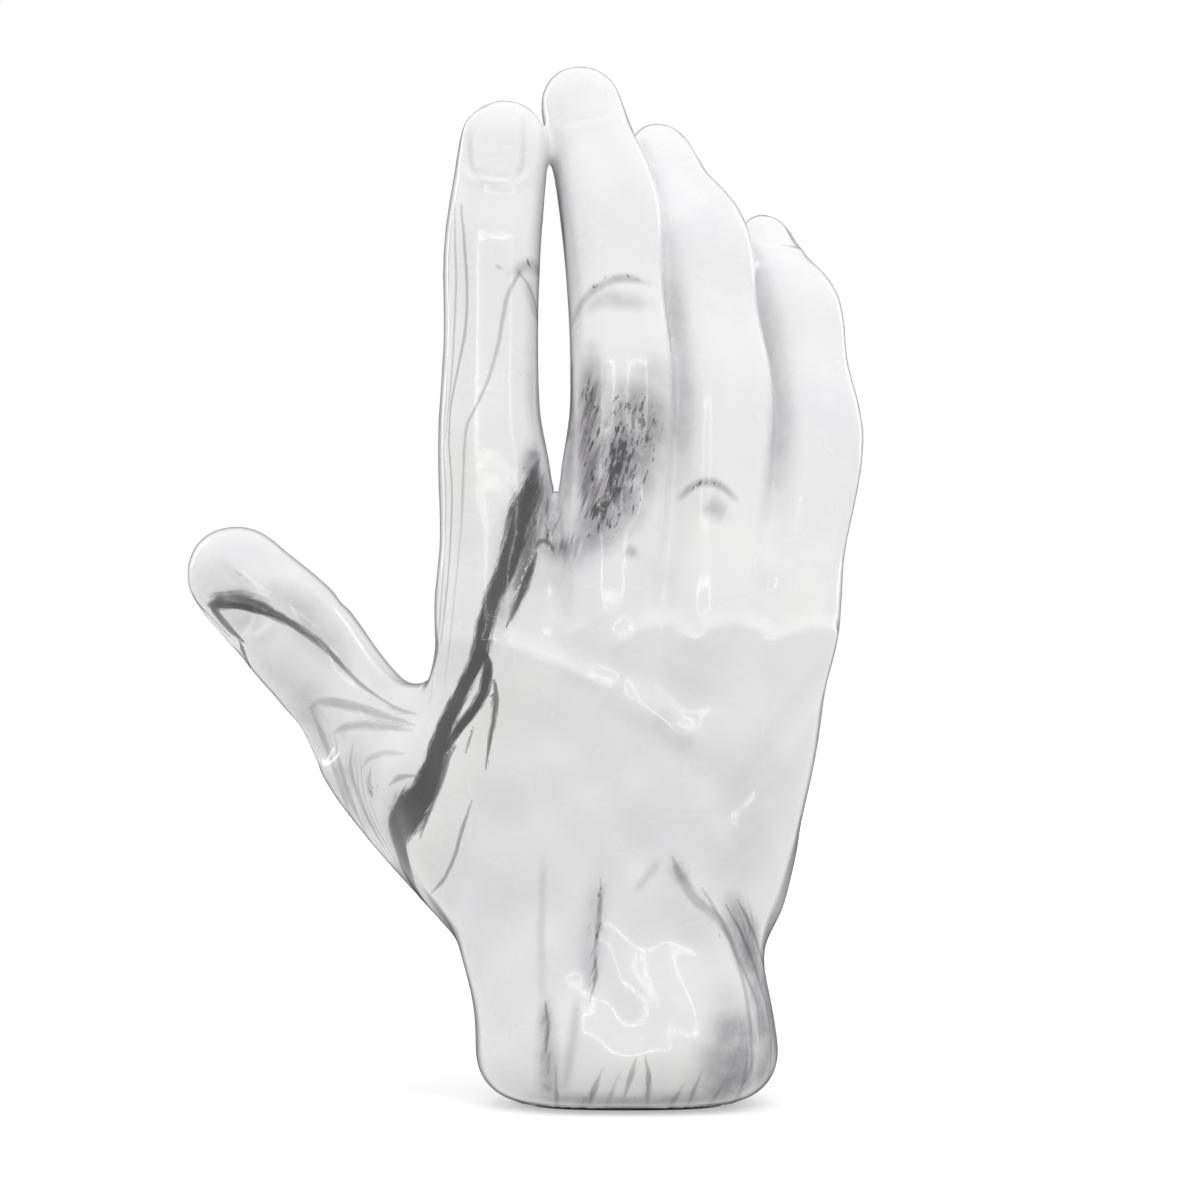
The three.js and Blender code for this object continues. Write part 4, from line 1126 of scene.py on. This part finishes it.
floor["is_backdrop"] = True

# Light
# A white tent with large soft boxes above, behind and to both sides, which the lacquer doesn't mirror. It
# mirrors a frame of thin strips over the camera as bright loops, and two strips behind along the fingers.
TENT_LEVEL = 0.3
AIM = Vector((0, 0, 110)) * MM
SOFT_BOXES = {
    "top": ((0.06, -0.42, 1.06), (1.40, 1.20), 9.0),
    "left": ((-1.05, 0.05, 0.50), (0.90, 0.90), 3.6),
    "right": ((1.05, 0.00, 0.55), (0.90, 0.90), 3.0),
    "back": ((0.00, 1.00, 0.80), (1.40, 1.20), 4.6),
    "back_left": ((-0.75, 0.60, 0.50), (0.10, 0.70), 0.5),
    "back_right": ((0.75, 0.60, 0.50), (0.10, 0.70), 0.5),
    "frame_top": ((0.10, -0.90, 0.66), (0.50, 0.025), 0.23),
    "frame_foot": ((0.10, -0.97, 0.33), (0.50, 0.025), 0.25),
    "frame_left": ((-0.15, -0.94, 0.50), (0.025, 0.33), 0.15),
    "frame_right": ((0.35, -0.94, 0.50), (0.025, 0.33), 0.15),
}
UNMIRRORED = ("top", "left", "right", "back")
for name, (spot, (width, height), power) in SOFT_BOXES.items():
    lamp = bpy.data.lights.new(name, "AREA")
    lamp.shape = "RECTANGLE"
    lamp.size, lamp.size_y = width, height
    lamp.energy = power
    box = bpy.data.objects.new(name, lamp)
    box.location = spot
    box.visible_glossy = name not in UNMIRRORED
    box.rotation_euler = (AIM - Vector(spot)).to_track_quat("-Z", "Y").to_euler()
    bpy.context.scene.collection.objects.link(box)
# A dark card stands behind the hand, out of the picture: only the lacquer mirrors it, and that draws the
# hand's outline against the white.
CARD_PLACE, CARD_SIZE = (0, 0.55, 0.1), 1.2
CARD_CLEAR, CARD_EDGE = 0.3, 0.6
CARD_DARK, CARD_LIGHT = (0.05, 0.05, 0.05, 1), (0.07, 0.07, 0.07, 1)
CARD_WEAVE, CARD_ROUGH = 300.0, 0.9
card_board, tree, shader = new_material("card")
weave = noise(tree, object_space(tree), CARD_WEAVE)
feed(tree, shader.inputs["Base Color"], blend(tree, weave, CARD_DARK, CARD_LIGHT))
shader.inputs["Roughness"].default_value = CARD_ROUGH
away = add_node(tree, "VectorMath", {"operation": "LENGTH"}, Vector=object_space(tree)).outputs["Value"]
feed(tree, shader.inputs["Alpha"], step(tree, away, CARD_CLEAR, CARD_EDGE, 1.0, 0.0))
card_mesh = bpy.data.meshes.new("card")
card_mesh.from_pydata([(x * CARD_SIZE, 0, z * CARD_SIZE) for x, z in SQUARE], [], [(0, 1, 2, 3)])
card_mesh.materials.append(card_board)
card = bpy.data.objects.new("card", card_mesh)
card.location = CARD_PLACE
card.visible_camera = False
card.visible_shadow = False
card.visible_diffuse = False
bpy.context.scene.collection.objects.link(card)
card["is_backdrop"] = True
world = bpy.data.worlds.new("tent")
world.use_nodes = True
tree = world.node_tree
tent = tree.nodes["Background"]
tent.inputs["Color"].default_value = (1, 1, 1, 1)
rays = add_node(tree, "LightPath").outputs
seen = maths(tree, "MAXIMUM", rays["Is Camera Ray"], rays["Is Glossy Ray"])
seen = maths(tree, "MAXIMUM", seen, rays["Is Transmission Ray"])
feed(tree, tent.inputs["Strength"], maths(tree, "MAXIMUM", seen, TENT_LEVEL))
bpy.context.scene.world = world
bpy.context.scene.view_settings.view_transform = "Standard"

boxes = {"cad": cad_box, "visual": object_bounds()}
{name: [list(corner) for corner in box] for name, box in boxes.items()}
